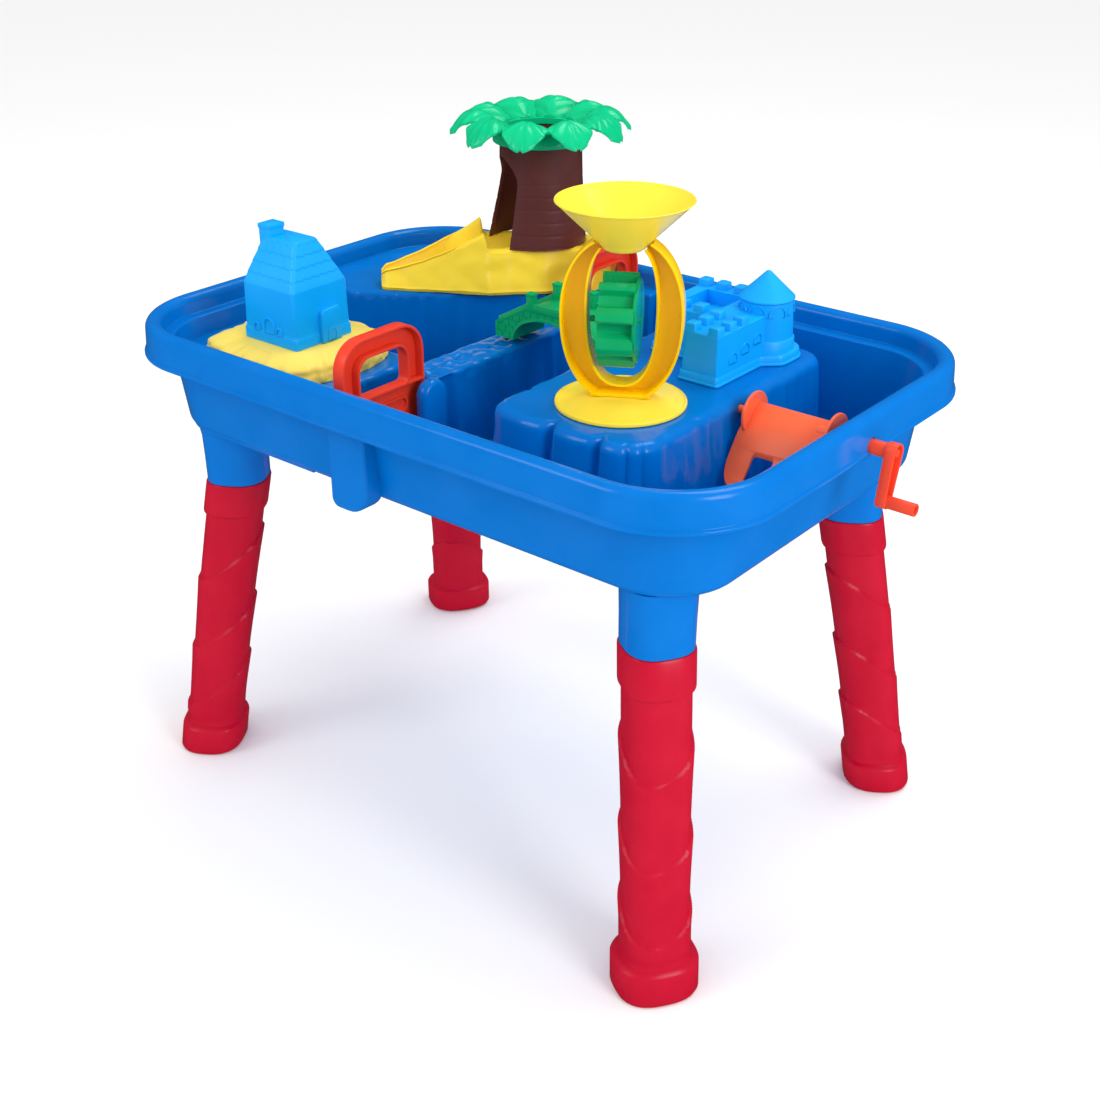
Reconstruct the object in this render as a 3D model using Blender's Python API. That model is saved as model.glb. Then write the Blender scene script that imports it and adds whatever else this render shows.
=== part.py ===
"""Sand and water table for children: a moulded tub on four push-fit legs, with its loose toys in place.

Metres, +Z up, +X along the long side of the tub. The origin is on the floor under the middle of the
tub. The crank is on the +X end, and the -Y long side is the front.
"""
import bpy
import bmesh
from math import cos, pi, radians, sin, tan
from mathutils import Matrix, Vector

# Driving dimensions -----------------------------------------------------------------------------
GAP = 0.0003                      # clearance between touching pieces

RIM_LENGTH = 0.660                # between the crests of the rim, along X
RIM_WIDTH = 0.438                 # between the crests of the rim, along Y
RIM_RADIUS = 0.088
RIM_Z = 0.465                     # top of the rim
FLOOR_Z = 0.365                   # inside floor of the basin
BASIN_Z = 0.362                   # underside of the basin
PLATEAU_Z = 0.450                 # top of the island and of the back ledge
HOUSE_LEDGE_Z = 0.429             # top of the lower ledge under the house
SKIN = 0.003                      # wall of the tub

LEG_TOP = (0.251, 0.153)          # centre of a leg where it meets the tub
LEG_FOOT = (0.288, 0.193)         # centre of a leg on the floor
LEG_TOP_Z = 0.304
SPIGOT_Z = 0.276                  # lower end of the spigot inside the leg

GATE_X = -0.042                   # middle plane of both sluice gates
GATE_THICK = 0.012
GATE_INNER_Y = 0.1085
GATE_OUTER_Y = 0.2050
GATE_TOP_Z = 0.498

AXLE_Y = 0.010                    # axis of the wave paddle and crank, parallel to X
AXLE_Z = 0.4405
CRANK_TILT = radians(-14)

STAND = (0.1425, -0.061)           # centre of the wheel stand
STAND_RADIUS = 0.0550
STAND_TURN = radians(30)          # how far the wheel frame is turned from X
DISC_Z = PLATEAU_Z + GAP
DISC_THICK = 0.004                # at its edge; the middle is a low dome
STAND_TOP_Z = 0.4583              # flat top of the dome, under the wheel frame
WHEEL_Z = 0.522                   # axis of the water wheel
WHEEL_RADIUS = 0.0385
FUNNEL_Z = 0.6205                 # rim of the funnel
FUNNEL_RADIUS = 0.0555
FUNNEL_NECK = 0.0180              # radius of the cone's lower end
FUNNEL_DEPTH = 0.0390

TRUNK = (-0.123, 0.157)           # axis of the palm trunk
TRUNK_Z = 0.492
TRUNK_TOP_Z = 0.598
SLIDE_TURN = radians(225)         # direction in which the slide runs down from the trunk

HOUSE = (-0.190, -0.115)
HOUSE_SEAT_Z = 0.451

# Building helpers -------------------------------------------------------------------------------


def plastic(name, colour, roughness=0.3):
    """A glossy moulded plastic; colour is linear RGB."""
    material = bpy.data.materials.new(name)
    material.use_nodes = True
    shader = material.node_tree.nodes["Principled BSDF"]
    shader.inputs["Base Color"].default_value = (*colour, 1.0)
    shader.inputs["Roughness"].default_value = roughness
    shader.inputs["Metallic"].default_value = 0.0
    return material


def mesh_object(name, bm, material=None):
    """Turn a bmesh into an object whose faces point out."""
    bmesh.ops.recalc_face_normals(bm, faces=bm.faces)
    mesh = bpy.data.meshes.new(name)
    bm.to_mesh(mesh)
    bm.free()
    obj = bpy.data.objects.new(name, mesh)
    bpy.context.collection.objects.link(obj)
    if material:
        mesh.materials.append(material)
        mesh.shade_smooth()
        mesh.set_sharp_from_angle(angle=radians(35))
    return obj


def add_loft(bm, rings):
    """A closed solid through rings of points that all have the same length."""
    loops = [[bm.verts.new(point) for point in ring] for ring in rings]
    for lower, upper in zip(loops, loops[1:]):
        for i in range(len(lower)):
            j = (i + 1) % len(lower)
            bm.faces.new((lower[i], lower[j], upper[j], upper[i]))
    bm.faces.new(loops[0])
    bm.faces.new(loops[-1])


def loft(name, rings, material=None):
    bm = bmesh.new()
    add_loft(bm, rings)
    return mesh_object(name, bm, material)


def fillet(corners, steps=4):
    """Round a polygon given as (u, v, radius) corners, anticlockwise."""
    outline = []
    for i, (u, v, radius) in enumerate(corners):
        here = Vector((u, v))
        before = (Vector(corners[i - 1][:2]) - here).normalized()
        after = (Vector(corners[(i + 1) % len(corners)][:2]) - here).normalized()
        if radius == 0:
            outline.append((u, v))
            continue
        half = before.angle(after) / 2
        reach = radius / tan(half)
        centre = here + (before + after).normalized() * (radius / sin(half))
        start = here + before * reach - centre
        end = here + after * reach - centre
        sweep = start.angle_signed(end)
        for k in range(steps + 1):
            spoke = start.copy()
            spoke.rotate(Matrix.Rotation(-sweep * k / steps, 2))
            outline.append(tuple(centre + spoke))
    return outline


def rounded_rect(half_x, half_y, radius, steps=4, centre=(0.0, 0.0)):
    cx, cy = centre
    return fillet([(cx - half_x, cy - half_y, radius), (cx + half_x, cy - half_y, radius),
                   (cx + half_x, cy + half_y, radius), (cx - half_x, cy + half_y, radius)], steps)


def circle(radius, count, centre=(0.0, 0.0)):
    return [(centre[0] + radius * cos(2 * pi * k / count), centre[1] + radius * sin(2 * pi * k / count))
            for k in range(count)]


def at_z(outline, z):
    return [(u, v, z) for u, v in outline]


def prism_rings(outline, axis, low, high):
    """Two rings that extrude an outline along X, Y or Z; the outline is (y, z), (x, z) or (x, y)."""
    place = {"X": lambda u, v, w: (w, u, v), "Y": lambda u, v, w: (u, w, v),
             "Z": lambda u, v, w: (u, v, w)}[axis]
    return [[place(u, v, w) for u, v in outline] for w in (low, high)]


def prism(name, outline, axis, low, high, material=None):
    return loft(name, prism_rings(outline, axis, low, high), material)


def box_outline(u0, v0, u1, v1):
    return [(u0, v0), (u1, v0), (u1, v1), (u0, v1)]


def add_box(bm, low, high):
    add_loft(bm, prism_rings(box_outline(low[0], low[1], high[0], high[1]), "Z", low[2], high[2]))


def combine(obj, tool, operation):
    """Join, cut or intersect with a hidden guide object."""
    modifier = obj.modifiers.new(operation.title(), 'BOOLEAN')
    modifier.operation = operation
    modifier.object = tool
    tool.hide_render = True
    tool.display_type = 'WIRE'


def join(obj, tool):
    combine(obj, tool, 'UNION')


def cut(obj, tool):
    combine(obj, tool, 'DIFFERENCE')


def keep(obj, tool):
    combine(obj, tool, 'INTERSECT')


# The tub ----------------------------------------------------------------------------------------


def rim_ring(offset, z, steps=6):
    """The plan of the rim, grown or shrunk by an offset."""
    return at_z(rounded_rect(RIM_LENGTH / 2 + offset, RIM_WIDTH / 2 + offset, RIM_RADIUS + offset,
                             steps), z)


def basin_fill(name):
    """The space inside the basin, out to the middle of its wall."""
    return loft(name, [rim_ring(-0.0285, 0.3632), rim_ring(-0.0237, 0.3685), rim_ring(-0.0131, 0.4450),
                       rim_ring(-0.0125, 0.4620)])


def leg_ring(centre, half, z, spread=1.0, count=24):
    """A section between a circle and a square, wider by a factor across the leg's own diagonal."""
    diagonal = Vector(centre).normalized()
    points = []
    for k in range(count):
        a = 2 * pi * k / count
        reach = half * (abs(cos(a)) ** 2.6 + abs(sin(a)) ** 2.6) ** (-1 / 2.6)
        across = reach * sin(a) * spread
        along = reach * cos(a)
        points.append((centre[0] + diagonal.x * along - diagonal.y * across,
                       centre[1] + diagonal.y * along + diagonal.x * across, z))
    return points


def leg_centre(z, sx=1, sy=1):
    """The middle of a leg at a height; the leg leans out towards the floor, faster at its top."""
    t = max(1 - z / LEG_TOP_Z, 0.0)
    t = t + 0.10 * t * (1 - t)
    x, y = [top + (foot - top) * t for top, foot in zip(LEG_TOP, LEG_FOOT)]
    return (sx * x, sy * y)


CORNERS = [(-1, -1), (1, -1), (-1, 1), (1, 1)]
ISLAND = [(0.055, -0.135, 0.030), (0.215, -0.135, 0.034), (0.215, 0.152, 0.024), (0.055, 0.152, 0.024)]
DIVIDER = [(-0.066, -0.120, 0.010), (-0.024, -0.120, 0.010), (-0.024, 0.120, 0.010),
           (-0.066, 0.120, 0.010)]
BACK_LEDGE = [(-0.340, 0.012, 0), (-0.246, 0.006, 0.020), (-0.200, 0.036, 0.060), (-0.058, 0.150, 0.016),
              (-0.058, 0.240, 0), (-0.340, 0.240, 0)]
HOUSE_LEDGE = [(-0.340, -0.240, 0), (-0.100, -0.240, 0), (-0.100, -0.050, 0.020), (-0.270, -0.040, 0.030),
               (-0.340, -0.020, 0)]


def grown(corners, offset):
    """A polygon of (u, v, radius) corners with every edge moved outward by an offset."""
    result = []
    for i, (u, v, radius) in enumerate(corners):
        before = (Vector((u, v)) - Vector(corners[i - 1][:2])).normalized()
        after = (Vector(corners[(i + 1) % len(corners)][:2]) - Vector((u, v))).normalized()
        bisector = (before - after).normalized()
        sine = before.cross(after)
        outward = Vector((before.y, -before.x))
        step = bisector * (offset / bisector.dot(outward)) if abs(sine) > 1e-6 else outward * offset
        grown_radius = radius + offset if sine > 0 else radius - offset
        result.append((u + step.x, v + step.y, max(grown_radius, 0.003) if radius else 0))
    return result


def add_raised(bm, corners, top, offset=0.0, base=BASIN_Z + 0.001, lean=0.005):
    """A block that leans in by a few millimetres towards a rounded top edge."""
    edge = 0.004 if offset == 0 else 0.002
    add_loft(bm, [at_z(fillet(grown(corners, offset + lean)), base),
                  at_z(fillet(grown(corners, offset)), top - edge),
                  at_z(fillet(grown(corners, offset - edge)), top)])


def build_tub(material):
    profile = [(-0.031, BASIN_Z), (-0.0265, BASIN_Z), (-0.0225, 0.367), (-0.0115, 0.442),
               (-0.0108, 0.445), (-0.0072, 0.447), (-0.0066, 0.455), (-0.0042, 0.4595),
               (0.0000, 0.4615), (0.0030, 0.4585), (0.0044, 0.452), (0.0058, 0.4355),
               (0.0066, 0.4345), (0.0086, 0.4345), (0.0092, 0.4365), (0.0074, 0.4400),
               (0.0062, 0.455), (0.0042, 0.4625), (-0.0005, RIM_Z), (-0.0058, 0.4628),
               (-0.0090, 0.4570), (-0.0098, 0.4500), (-0.0140, 0.4480), (-0.0148, 0.4460),
               (-0.0250, 0.3700), (-0.0290, FLOOR_Z), (-0.0330, FLOOR_Z)]
    tub = loft("tub", [rim_ring(offset, z) for offset, z in profile], material)

    corner_ledges = bmesh.new()
    add_raised(corner_ledges, BACK_LEDGE, PLATEAU_Z)
    add_raised(corner_ledges, HOUSE_LEDGE, HOUSE_LEDGE_Z)
    corner_ledges = mesh_object("guide_corner_ledges", corner_ledges)
    keep(corner_ledges, basin_fill("guide_fill"))
    join(tub, corner_ledges)

    solids = bmesh.new()
    add_raised(solids, ISLAND, PLATEAU_Z)
    add_raised(solids, DIVIDER, PLATEAU_Z - 0.006, lean=0.003)
    channel = fillet([(GATE_X - 0.0108, 0.3535, 0.0035), (GATE_X + 0.0420, 0.3535, 0.016),
                      (GATE_X + 0.0420, 0.4478, 0), (GATE_X - 0.0108, 0.4478, 0)])
    for low, high in ((-0.2125, -0.1900), (0.1900, 0.2125)):
        add_loft(solids, prism_rings(channel, "Y", low, high))
    for sx, sy in CORNERS:
        add_loft(solids, [leg_ring(leg_centre(SPIGOT_Z, sx, sy), 0.0246, SPIGOT_Z),
                          leg_ring(leg_centre(LEG_TOP_Z, sx, sy), 0.0248, LEG_TOP_Z),
                          leg_ring(leg_centre(LEG_TOP_Z, sx, sy), 0.0290, LEG_TOP_Z + 0.0002),
                          leg_ring(leg_centre(LEG_TOP_Z, sx, sy), 0.0318, FLOOR_Z - 0.001)])
    join(tub, mesh_object("guide_solids", solids))

    corner_hollows = bmesh.new()
    add_raised(corner_hollows, BACK_LEDGE, PLATEAU_Z - SKIN, -SKIN, BASIN_Z - 0.002)
    add_raised(corner_hollows, HOUSE_LEDGE, HOUSE_LEDGE_Z - SKIN, -SKIN, BASIN_Z - 0.002)
    corner_hollows = mesh_object("guide_corner_hollows", corner_hollows)
    fill = loft("guide_inner_fill", [rim_ring(-0.0335, 0.3585), rim_ring(-0.0335, 0.3627),
                                     rim_ring(-0.0262, 0.3685), rim_ring(-0.0158, 0.4450),
                                     rim_ring(-0.0156, 0.4620)])
    keep(corner_hollows, fill)
    cut(tub, corner_hollows)

    hollows = bmesh.new()
    add_raised(hollows, ISLAND, PLATEAU_Z - SKIN, -SKIN, BASIN_Z - 0.002)
    narrow = [(-0.066, -0.104, 0.010), (-0.024, -0.104, 0.010), (-0.024, 0.104, 0.010),
              (-0.066, 0.104, 0.010)]
    add_raised(hollows, narrow, PLATEAU_Z - 0.009, -SKIN, BASIN_Z - 0.002, lean=0.003)
    for sx, sy in CORNERS:
        add_loft(hollows, [leg_ring(leg_centre(SPIGOT_Z, sx, sy), 0.0214, SPIGOT_Z - 0.002),
                           leg_ring(leg_centre(LEG_TOP_Z, sx, sy), 0.0214, LEG_TOP_Z),
                           leg_ring(leg_centre(LEG_TOP_Z, sx, sy), 0.0230, FLOOR_Z - 0.006)])
    cut(tub, mesh_object("guide_hollows", hollows))

    openings = bmesh.new()
    half = GATE_THICK / 2 + 0.0013
    for side in (-1, 1):
        near, far = sorted((side * (GATE_INNER_Y - 0.0010), side * (GATE_OUTER_Y + 0.0025)))
        add_box(openings, (GATE_X - half, near, FLOOR_Z + 0.0006), (GATE_X + half, far, 0.472))
    add_loft(openings, prism_rings(circle(0.0070, 16, (AXLE_Y, AXLE_Z)), "X", 0.300, 0.350))
    notch = [(AXLE_Y + 0.0045 * cos(pi + pi * k / 8), AXLE_Z + 0.0045 * sin(pi + pi * k / 8))
             for k in range(9)]
    notch += [(AXLE_Y + 0.0045, PLATEAU_Z + 0.006), (AXLE_Y - 0.0045, PLATEAU_Z + 0.006)]
    add_loft(openings, prism_rings(notch, "X", 0.205, 0.226))
    add_loft(openings, prism_rings(circle(0.0160, 24, STAND), "Z", PLATEAU_Z - 0.006, PLATEAU_Z + 0.006))
    cut(tub, mesh_object("guide_openings", openings))
    return tub


def build_leg(name, sx, sy, material):
    """A hollow leg: a socket at the top takes the tub's spigot, a wide band is the foot."""
    def ring(half, spread, z):
        return leg_ring(leg_centre(z, sx, sy), half, z, spread)

    outer = [(0.0312, 1.12, 0.0), (0.0326, 1.12, 0.003), (0.0326, 1.12, 0.028), (0.0290, 1.04, 0.033),
             (0.0280, 1.0, 0.100), (0.0280, 1.0, 0.200), (0.0286, 1.0, 0.268), (0.0298, 1.0, 0.271),
             (0.0298, 1.0, LEG_TOP_Z - GAP)]
    leg = loft(name, [ring(*entry) for entry in outer], material)
    inner = [(0.0250, 1.0, 0.006), (0.0250, 1.0, 0.100), (0.0250, 1.0, 0.200),
             (0.0254, 1.0, 0.262), (0.0254, 1.0, LEG_TOP_Z + 0.002)]
    cut(leg, loft("guide_inside_" + name, [ring(*entry) for entry in inner]))
    return leg


# Sluice gates -----------------------------------------------------------------------------------


def build_gate(name, side, material):
    """A flanged panel with a finger hole; it drops into the channel at one side of the basin."""
    inner, outer = GATE_INNER_Y, GATE_OUTER_Y
    bottom = FLOOR_Z + 0.0010
    bar = 0.444
    x0, x1 = GATE_X - GATE_THICK / 2, GATE_X + GATE_THICK / 2

    def outline(inset, low, high, radius, low_radius=0.0):
        points = fillet([(inner + inset, low, low_radius), (outer - inset, low, low_radius),
                         (outer - inset, high, radius), (inner + inset, high, radius)])
        if side > 0:
            return points
        return [(-y, z) for y, z in reversed(points)]

    gate = prism(name, outline(0.0, bottom, GATE_TOP_Z, 0.026, 0.002), "X", x0, x1, material)
    pockets = bmesh.new()
    add_loft(pockets, prism_rings(outline(0.0025, bottom + 0.0025, bar - 0.0015, 0.002, 0.002), "X",
                                  x0 + 0.0030, x1 + 0.002))
    add_loft(pockets, prism_rings(outline(0.0200, bar + 0.0015, GATE_TOP_Z - 0.0180, 0.012, 0.004), "X",
                                  x0 - 0.002, x1 + 0.002))
    cut(gate, mesh_object("guide_pockets_" + name, pockets))
    rib = prism("guide_rib_" + name, outline(0.0160, bar - 0.0260, bar - 0.0120, 0.0069, 0.0069), "X",
                x0 + 0.0010, x0 + 0.0070)
    join(gate, rib)
    return gate


# House and its sand mound -----------------------------------------------------------------------


def blob(centre, half_x, half_y, z, swell=0.0, count=28):
    """A rounded, slightly lumpy outline."""
    points = []
    for k in range(count):
        a = 2 * pi * k / count
        reach = (abs(cos(a)) ** 3.2 + abs(sin(a)) ** 3.2) ** (-1 / 3.2)
        reach *= 1 + swell * (sin(5 * a + 0.6) + 0.6 * sin(8 * a + 2.0))
        points.append((centre[0] + half_x * reach * cos(a), centre[1] + half_y * reach * sin(a), z))
    return points


def build_house_base(material):
    """The yellow mound that the house stands on, hollow underneath."""
    middle = (-0.193, -0.114)
    low = HOUSE_LEDGE_Z + GAP
    top = HOUSE_SEAT_Z
    base = loft("house_base", [blob(middle, 0.077, 0.070, low, 0.016),
                               blob(middle, 0.0775, 0.0705, low + 0.007, 0.020),
                               blob(middle, 0.068, 0.061, top - 0.005, 0.022),
                               blob(middle, 0.056, 0.050, top, 0.018)], material)
    cut(base, loft("guide_inside_base", [blob(middle, 0.072, 0.065, low - 0.002, 0.016),
                                         blob(middle, 0.064, 0.057, top - 0.010, 0.020),
                                         blob(middle, 0.052, 0.046, top - 0.003, 0.014)]))
    return base


def build_house(material):
    """A sand mould shaped as a house with a steep roof, open underneath."""
    x, y = HOUSE
    low = HOUSE_SEAT_Z + GAP

    def storey(half_x, half_y, z, centre=HOUSE, radius=0.003):
        return at_z(rounded_rect(half_x, half_y, radius, 2, centre), z)

    ridge = (x - 0.003, y + 0.001)
    house = loft("house_mould", [storey(0.0350, 0.0345, low), storey(0.0346, 0.0341, low + 0.0095),
                                 storey(0.0340, 0.0335, low + 0.0098), storey(0.0334, 0.0329, 0.5030),
                                 storey(0.0215, 0.0130, 0.5420, ridge),
                                 storey(0.0205, 0.0120, 0.5428, ridge)], material)
    details = bmesh.new()
    add_box(details, (x + 0.0300, y - 0.004, low + 0.0001), (x + 0.0385, y + 0.018, 0.4810))
    add_box(details, (x - 0.0305, y - 0.0120, 0.5220), (x - 0.0145, y + 0.0060, 0.5530))
    join(house, mesh_object("guide_house_details", details))
    cut(house, loft("guide_inside_house", [storey(0.0328, 0.0323, low - 0.002),
                                           storey(0.0313, 0.0308, 0.5020),
                                           storey(0.0195, 0.0110, 0.5404, ridge)]))
    return house


# Hill, palm trunk and leaf crown ----------------------------------------------------------------


def slide_point(u, v, z):
    """u runs down the slide from the trunk's axis, v across it towards the front."""
    along = Vector((cos(SLIDE_TURN), sin(SLIDE_TURN)))
    across = Vector((-along.y, along.x)) * 1.0
    return (TRUNK[0] + along.x * u + across.x * v, TRUNK[1] + along.y * u + across.y * v, z)


def hill_section(u, half, ridge, chute, base, inset=0.0):
    """One cross-section of the slide: two banks with the chute between them."""
    top = ridge - inset
    floor = min(chute - inset, top)
    lip = half - 0.010
    bed = min(0.024, lip - 0.004)
    points = [(half - inset, base), (half - inset, base + 0.004), (half - 0.004 - inset, top - 0.003),
              (lip - inset, top), (bed + 0.002, floor + 0.001 if floor < top else top), (bed - 0.004, floor),
              (-bed + 0.004, floor), (-bed - 0.002, floor + 0.001 if floor < top else top),
              (-lip + inset, top), (-half + 0.004 + inset, top - 0.003), (-half + inset, base + 0.004),
              (-half + inset, base)]
    return [slide_point(u, v, z) for v, z in points]


def build_hill(material):
    """The yellow hill with the slide; the trunk stands on the flat banks at its top."""
    base = PLATEAU_Z + GAP
    flat = TRUNK_Z - GAP
    sections = [(-0.100, 0.049, flat - 0.004, flat - 0.004), (-0.046, 0.049, flat, flat),
                (-0.030, 0.049, flat, 0.481), (0.0565, 0.049, flat, 0.478), (0.0585, 0.047, 0.508, 0.477),
                (0.085, 0.039, 0.494, 0.471), (0.120, 0.030, 0.479, 0.464), (0.150, 0.022, 0.468, 0.460),
                (0.160, 0.018, 0.464, 0.4585)]
    hill = loft("hill", [hill_section(u, h, ridge, chute, base) for u, h, ridge, chute in sections],
                material)
    keep(hill, prism("guide_hill_bounds", [(-0.300, 0.000), (-0.056, 0.000), (-0.056, 0.2020),
                                           (-0.300, 0.2020)], "Z", 0.432, 0.532))
    hollow = loft("guide_inside_hill", [hill_section(u, h - 0.0005, ridge, chute, base - 0.002, 0.0028)
                                        for u, h, ridge, chute in sections[1:-1]])
    keep(hollow, prism("guide_hollow_bounds", [(-0.300, 0.000), (-0.059, 0.000), (-0.059, 0.1990),
                                               (-0.300, 0.1990)], "Z", 0.432, 0.532))
    cut(hill, hollow)
    return hill


def build_trunk(material):
    """A hollow tapered trunk, open at the top, with an arched doorway onto the slide."""
    def ring(radius, lead, z):
        """An oval whose doorway side reaches further down the slide."""
        spots = circle(radius, 32)
        return [slide_point(u * (1 + lead / radius if u > 0 else 1), v, z) for u, v in spots]

    trunk = loft("palm_trunk", [ring(0.0455, 0.010, TRUNK_Z), ring(0.0440, 0.008, 0.512),
                                ring(0.0415, 0.004, 0.552), ring(0.0405, 0.0, TRUNK_TOP_Z)], material)
    cut(trunk, loft("guide_trunk_bore", [ring(0.0427, 0.010, TRUNK_Z - 0.002),
                                         ring(0.0380, 0.0, TRUNK_TOP_Z + 0.002)]))
    arch = [(0.0300, TRUNK_Z - 0.003), (0.0300, 0.5560)]
    arch += [(0.0300 * cos(pi * k / 10), 0.5560 + 0.0260 * sin(pi * k / 10)) for k in range(1, 10)]
    arch += [(-0.0300, 0.5560), (-0.0300, TRUNK_Z - 0.003)]
    doorway = loft("guide_doorway", [[slide_point(u, v, z) for v, z in arch] for u in (0.012, 0.080)])
    cut(trunk, doorway)
    return trunk


def build_crown(material):
    """Ten drooping leaves round a collar that drops over the top of the trunk."""
    def ring(radius, z):
        return at_z(circle(radius, 40, TRUNK), z)

    low = TRUNK_TOP_Z - 0.006
    crown = loft("palm_crown", [ring(0.0470, low), ring(0.0458, TRUNK_TOP_Z + 0.004),
                                ring(0.0430, TRUNK_TOP_Z + 0.006)], material)
    leaves = bmesh.new()
    for k in range(10):
        turn = Matrix.Rotation(radians(9 + 36 * k), 2)
        rings = []
        for reach, half, rise in ((0.0395, 0.0110, 0.0045), (0.0520, 0.0150, 0.0200),
                                  (0.0700, 0.0165, 0.0175), (0.0880, 0.0080, 0.0020)):
            points = []
            for v, drop in ((-half, 0.004), (0.0, 0.0), (half, 0.004),
                            (half, 0.007), (0.0, 0.003), (-half, 0.007)):
                spot = turn @ Vector((reach, v))
                points.append((TRUNK[0] + spot.x, TRUNK[1] + spot.y, TRUNK_TOP_Z + rise - drop))
            rings.append(points)
        add_loft(leaves, rings)
    join(crown, mesh_object("guide_leaves", leaves))
    cut(crown, loft("guide_crown_bore", [ring(0.0422, low - 0.002), ring(0.0412, TRUNK_TOP_Z + GAP),
                                         ring(0.0370, TRUNK_TOP_Z + GAP + 0.0001), ring(0.0370, 0.627)]))
    return crown


# Wheel stand, water wheel and funnel ------------------------------------------------------------


def build_stand_base(material):
    """A round foot whose short spigot drops into the hole in the island."""
    def ring(radius, z):
        return at_z(circle(radius, 40, STAND), z)

    base = loft("stand_base", [ring(0.0135, DISC_Z - 0.0025), ring(0.0155, DISC_Z - 0.0020),
                               ring(0.0155, DISC_Z), ring(STAND_RADIUS - 0.0005, DISC_Z),
                               ring(STAND_RADIUS, DISC_Z + 0.0010),
                               ring(STAND_RADIUS, DISC_Z + DISC_THICK - 0.0010),
                               ring(STAND_RADIUS - 0.0010, DISC_Z + DISC_THICK),
                               ring(0.0330, STAND_TOP_Z - 0.0006), ring(0.0300, STAND_TOP_Z)], material)
    return base


def frame_object(name, bm, material=None):
    """Geometry drawn with the frame's plane along local X, turned and placed on the stand."""
    bmesh.ops.transform(bm, verts=bm.verts, matrix=Matrix.Translation((*STAND, 0.0))
                        @ Matrix.Rotation(STAND_TURN, 4, 'Z'))
    return mesh_object(name, bm, material)


def oval(half_u, bottom, top, power, count=32):
    """An egg-shaped outline (u, z), a little narrower at its foot; a higher power is squarer."""
    middle, half_z = (bottom + top) / 2, (top - bottom) / 2
    points = []
    for k in range(count):
        a = 2 * pi * k / count
        reach = (abs(cos(a)) ** power + abs(sin(a)) ** power) ** (-1 / power)
        width = half_u * (1 + 0.03 * reach * sin(a))
        points.append((width * reach * cos(a), middle + half_z * reach * sin(a)))
    return points


def funnel_cone(margin, bottom):
    """The space that the funnel's cone fills, grown by a margin, over a plain round shaft."""
    neck_z = FUNNEL_Z - FUNNEL_DEPTH
    return [at_z(circle(radius + margin, 32, STAND), z)
            for radius, z in ((FUNNEL_NECK, bottom), (FUNNEL_NECK, neck_z), (FUNNEL_RADIUS, FUNNEL_Z))]


def build_wheel_frame(material):
    """An oval ring of U section; its top cradles the funnel and its sides carry the wheel."""
    foot = STAND_TOP_Z + GAP
    bm = bmesh.new()
    add_loft(bm, prism_rings(oval(0.0500, foot - 0.0050, 0.5935, 2.2), "Y", -0.010, 0.010))
    frame = frame_object("wheel_frame", bm, material)

    bm = bmesh.new()
    flare = [(-0.0260, foot - 0.004), (0.0260, foot - 0.004), (0.0180, foot + 0.010), (-0.0180, foot + 0.010)]
    add_loft(bm, prism_rings(flare, "Y", -0.0105, 0.0105))
    join(frame, frame_object("guide_frame_foot", bm))

    bm = bmesh.new()
    add_box(bm, (-0.060, -0.030, foot - 0.020), (0.060, 0.030, foot))
    add_loft(bm, prism_rings(oval(0.0250, foot + 0.0190, 0.5890, 3.2), "Y", -0.020, 0.020))
    cut(frame, frame_object("guide_frame_window", bm))

    groove = bmesh.new()
    add_loft(groove, prism_rings(oval(0.0475, foot + 0.0035, 0.5905, 2.2), "Y", -0.012, 0.0072))
    groove = frame_object("guide_groove", groove)
    core = bmesh.new()
    add_loft(core, prism_rings(oval(0.0275, foot + 0.0165, 0.5920, 3.2), "Y", -0.014, 0.0090))
    cut(groove, frame_object("guide_groove_core", core))
    cut(groove, loft("guide_groove_end", funnel_cone(0.0028, 0.540)))
    cut(frame, groove)

    bores = bmesh.new()
    add_loft(bores, prism_rings(circle(0.0030, 12, (0.0, WHEEL_Z)), "X", -0.035, 0.035))
    cut(frame, frame_object("guide_frame_bores", bores))
    cut(frame, loft("guide_funnel_seat", funnel_cone(0.0004, 0.545)))
    return frame


def build_water_wheel(material):
    """A hub with eight curved scoops between its stub axles."""
    bm = bmesh.new()
    outline = []
    steps = 5
    for k in range(8):
        start = 2 * pi * k / 8
        for j in range(steps):
            s = j / steps
            radius = 0.0240 + (WHEEL_RADIUS - 0.0240) * s ** 0.6
            turn = start + 0.75 * s * 2 * pi / 8
            outline.append((radius * cos(turn), WHEEL_Z + radius * sin(turn)))
    add_loft(bm, prism_rings(outline, "X", -0.0175, 0.0120))
    wheel = frame_object("water_wheel", bm, material)
    bm = bmesh.new()
    add_loft(bm, prism_rings(circle(0.0340, 24, (0.0, WHEEL_Z)), "X", 0.0115, 0.0140))
    join(wheel, frame_object("guide_wheel_side", bm))
    bm = bmesh.new()
    add_loft(bm, prism_rings(circle(0.0026, 12, (0.0, WHEEL_Z)), "X", -0.0265, 0.0265))
    join(wheel, frame_object("guide_wheel_axle", bm))
    return wheel


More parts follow.
